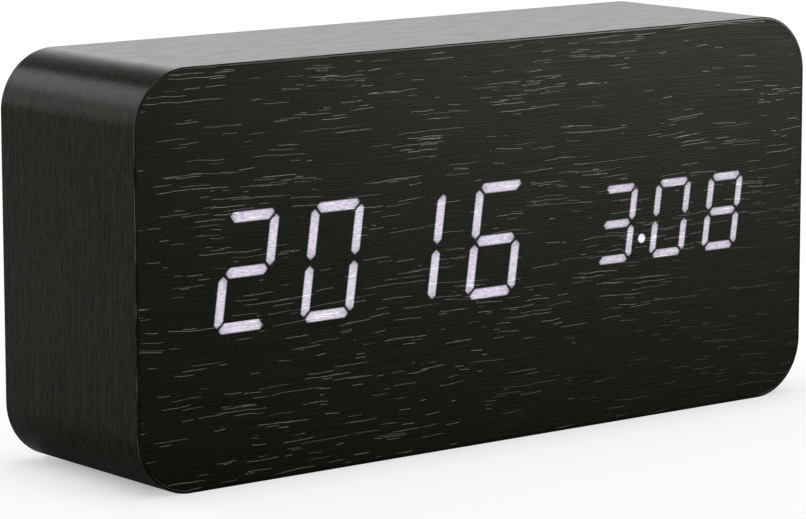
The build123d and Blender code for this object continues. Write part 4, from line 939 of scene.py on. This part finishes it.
steelLook = {"bright": (0.66, 0.65, 0.62, 1), "dull": (0.52, 0.51, 0.48, 1), "roughness": (0.16, 0.30),
             "scratch": (1.5, 0.08, 0.08), "depth": 0.004}
paint(metalMaterial("nickelSteel", steelLook), "display_screws", "control_screws", "backup_cell",
      "backup_cell_clip", "power_socket_shell", "contact_plates", "contact_springs")
screwLook = steelLook | {
    "bright": (0.10, 0.10, 0.105, 1), "dull": (0.06, 0.06, 0.062, 1), "roughness": (0.28, 0.42),
}
paint(metalMaterial("blackScrew", screwLook), "panel_screws")
canLook = {"bright": (0.78, 0.78, 0.78, 1), "dull": (0.62, 0.62, 0.63, 1), "roughness": (0.26, 0.40),
           "scratch": (0.6, 0.1, 0.1), "depth": 0.006}
paint(metalMaterial("drawnCan", canLook), "clock_crystal", "smoothing_capacitor", "microphone")
giltLook = {"bright": (0.80, 0.58, 0.22, 1), "dull": (0.66, 0.46, 0.18, 1), "roughness": (0.18, 0.30),
            "scratch": (0.4, 0.05, 0.05), "depth": 0.002}
paint(metalMaterial("giltContact", giltLook), "power_socket_contacts")


# dry cells

cellLook = {
    "jacket": (0.020, 0.115, 0.060, 1), "jacketWorn": (0.030, 0.150, 0.082, 1), "band": (0.62, 0.62, 0.60, 1),
    "steel": (0.64, 0.63, 0.60, 1), "roughness": (0.22, 0.36),
    "bandFrom": 34.0, "bandTo": 41.6, "jacketFrom": 0.5, "grit": 0.6, "depth": 0.008,  # mm
    "count": 4,
}


def makeCellBands():  # along is the distance from the flat end in mm
    look = cellLook
    group, given, wanted = newGroup("cellBands", {"Along": 0.0}, "Band", "Bare")
    middle = (look["bandFrom"] + look["bandTo"]) / 2
    reach = (look["bandTo"] - look["bandFrom"]) / 2
    plug(group, calc(group, "COMPARE", given["Along"], middle, reach), wanted["Band"])
    bottom = calc(group, "LESS_THAN", given["Along"], look["jacketFrom"])
    top = calc(group, "GREATER_THAN", given["Along"], look["bandTo"])
    plug(group, calc(group, "MAXIMUM", bottom, top), wanted["Bare"])
    return group


cellBands = makeCellBands()


def cellMaterial(name, look, node, nubAhead):
    material, tree, sockets, place = newMaterial(name)
    low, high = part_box(node)
    x = splitPlace(tree, place)[0]
    along = calc(tree, "SUBTRACT", x, low.x / mm) if nubAhead else calc(tree, "SUBTRACT", high.x / mm, x)
    bands = useGroup(tree, cellBands, {"Along": along})
    marks = useGroup(tree, mouldedSkin, {"Place": place, "Grit": look["grit"]})
    tone = blendColour(tree, marks["Marks"], look["jacket"], look["jacketWorn"])
    tone = blendColour(tree, bands["Band"], tone, look["band"])
    tone = blendColour(tree, bands["Bare"], tone, look["steel"])
    dress(tree, sockets, look, tone, marks["Marks"], marks["Grit"], wholeSpan)
    plug(tree, bands["Bare"], sockets["Metallic"])
    return material


for index in range(cellLook["count"]):  # nubs point to and fro in turn
    cellNode = f"battery_cell_{index + 1}"
    paint(cellMaterial(cellNode + "Jacket", cellLook, cellNode, index % 2 == 0), cellNode)
print("metals and cells finished")


# floor, light and camera

stageLook = {
    "size": 6.0, "floor": (0.90, 0.90, 0.90, 1), "tint": (0.86, 0.86, 0.87, 1), "paper": 40.0,  # m, mm
    "lift": 0.73, "lifted": 1.07,  # share of plain white in what is seen of the floor, and its strength
    "seenGap": (-30.0, 14.0), "glossGap": (0.0, 120.0),  # mm outside the block, where it sets in
    "farGap": (250.0, 800.0),  # mm outside the block, where the floor runs into the backdrop
    "shade": 0.60, "shadeGap": (0.0, 30.0),  # the block's own shade in its gloss, and how far out in mm
    "sky": 0.50, "backdrop": 1.0, "dim": 0.08, "dimHeight": (0.36, 0.60),
}


def seenBy(tree):  # 1 for what the camera sees, and 1 for what is seen in a gloss or through a glass
    ways = addNode(tree, "LightPath").outputs
    return ways["Is Camera Ray"], calc(tree, "MAXIMUM", ways["Is Glossy Ray"], ways["Is Transmission Ray"])


def buildFloor(look):
    half = look["size"] / 2
    mesh = bpy.data.meshes.new("floor")
    corners = [(-half, -half, 0), (half, -half, 0), (half, half, 0), (-half, half, 0)]
    mesh.from_pydata(corners, [], [(0, 1, 2, 3)])
    floor = addObject("floor", mesh)
    material = bpy.data.materials.new("paleFloor")
    tree = emptyTree(material)
    place = placeInMm(tree)
    paper = noise(tree, place, look["paper"], 3.0)
    white = addNode(tree, "Emission", {"Color": (1, 1, 1, 1), "Strength": look["lifted"]})
    x, y, _ = splitPlace(tree, place)
    gapX = calc(tree, "SUBTRACT", calc(tree, "ABSOLUTE", x), wrapHigh.x / mm)
    gapY = calc(tree, "SUBTRACT", calc(tree, "ABSOLUTE", y), wrapHigh.y / mm)
    gap = calc(tree, "MAXIMUM", gapX, gapY)
    camera, gloss = seenBy(tree)
    shade = times(tree, gloss, spread(tree, gap, *look["shadeGap"], look["shade"], 0.0))
    sheet = blendColour(tree, paper, look["floor"], look["tint"])
    matt = addNode(tree, "BsdfDiffuse", {"Color": blendColour(tree, shade, sheet, (0, 0, 0, 1))})
    seen = times(tree, camera, spread(tree, gap, *look["seenGap"]))
    seen = times(tree, seen, spread(tree, gap, *look["farGap"], look["lift"], 1.0))
    gloss = times(tree, gloss, spread(tree, gap, *look["glossGap"], 0.0, look["lift"]))
    share = calc(tree, "MAXIMUM", seen, gloss)
    both = addNode(tree, "MixShader", {0: share, 1: matt.outputs[0], 2: white.outputs[0]})
    addNode(tree, "OutputMaterial", {"Surface": both.outputs[0]})
    mesh.materials.append(material)


def buildWorld(look):
    world = bpy.data.worlds.new("studio")
    tree = emptyTree(world)
    height = splitPlace(tree, addNode(tree, "TexCoord").outputs["Generated"])[2]
    backdrop = spread(tree, height, *look["dimHeight"], look["backdrop"], look["dim"])
    camera, gloss = seenBy(tree)
    seen = calc(tree, "MAXIMUM", camera, gloss)
    shown = calc(tree, "MAXIMUM", camera, backdrop)
    level = addNode(tree, "Mix", {0: seen, 2: look["sky"], 3: shown}).outputs[0]
    sky = addNode(tree, "Background", {"Color": (1, 1, 1, 1), "Strength": level})
    addNode(tree, "OutputWorld", {"Surface": sky.outputs[0]})
    bpy.context.scene.world = world


lampLooks = {  # place, aim and size in m, power in W
    "frontSoftbox": {
        "place": (0.48, -0.54, 0.056), "aim": (0.0, -0.02, 0.056), "size": (0.24, 0.026), "power": 5.3},
    "leftSoftbox": {
        "place": (-0.42, 1.09, 0.68), "aim": (-0.07, 0.0, 0.07), "size": (0.48, 0.34), "power": 3.5},
    "leftFill": {
        "place": (-0.694, 1.09, 0.382), "aim": (-0.07, 0.0, 0.07), "size": (0.26, 0.55), "power": 1.62},
    "rearSoftbox": {
        "place": (0.80, 1.35, 0.59), "aim": (0.0, 0.0, 0.07), "size": (1.6, 0.55), "power": 3.9},
    "topSoftbox": {
        "place": (0.25, 0.15, 1.5), "aim": (0.0, 0.0, 0.0), "size": (1.2, 1.2), "power": 7.0},
}


def addLamp(name, look):
    lamp = bpy.data.lights.new(name, "AREA")
    lamp.shape = "RECTANGLE"
    lamp.size, lamp.size_y = look["size"]
    lamp.energy = look["power"]
    holder = addObject(name, lamp)
    holder.location = look["place"]
    holder.rotation_euler = (Vector(look["aim"]) - Vector(look["place"])).to_track_quat("-Z", "Y").to_euler()
    holder.visible_camera = False


photoView = {
    "lens": 171.30, "sensor": 36.0,  # mm
    "turn": 38.343, "dip": 9.293, "roll": -0.086,  # degrees
    "aim": (0.0, 0.0, 0.035), "distance": 0.68453, "slide": (-0.0030134, -0.0048489),  # m
}


def addCamera(look):
    turn, dip, roll = (math.radians(look[k]) for k in ("turn", "dip", "roll"))
    ahead = Vector((math.sin(turn) * math.cos(dip), math.cos(turn) * math.cos(dip), -math.sin(dip)))
    level = Vector((math.cos(turn), -math.sin(turn), 0.0))
    upright = level.cross(ahead)
    right = level * math.cos(roll) + upright * math.sin(roll)
    up = upright * math.cos(roll) - level * math.sin(roll)
    place = Vector(look["aim"]) - ahead * look["distance"] + right * look["slide"][0] + up * look["slide"][1]
    lens = bpy.data.cameras.new("photoCamera")
    lens.lens, lens.sensor_width, lens.sensor_fit = look["lens"], look["sensor"], "HORIZONTAL"
    camera = addObject("photoCamera", lens)
    axes = Matrix((right, up, -ahead)).transposed().to_4x4()
    camera.matrix_world = Matrix.Translation(place) @ axes
    bpy.context.scene.camera = camera


buildFloor(stageLook)
buildWorld(stageLook)
for lampName, lampLook in lampLooks.items():
    addLamp(lampName, lampLook)
addCamera(photoView)
bpy.context.scene.view_settings.view_transform = "Standard"
print("floor, light and camera set")
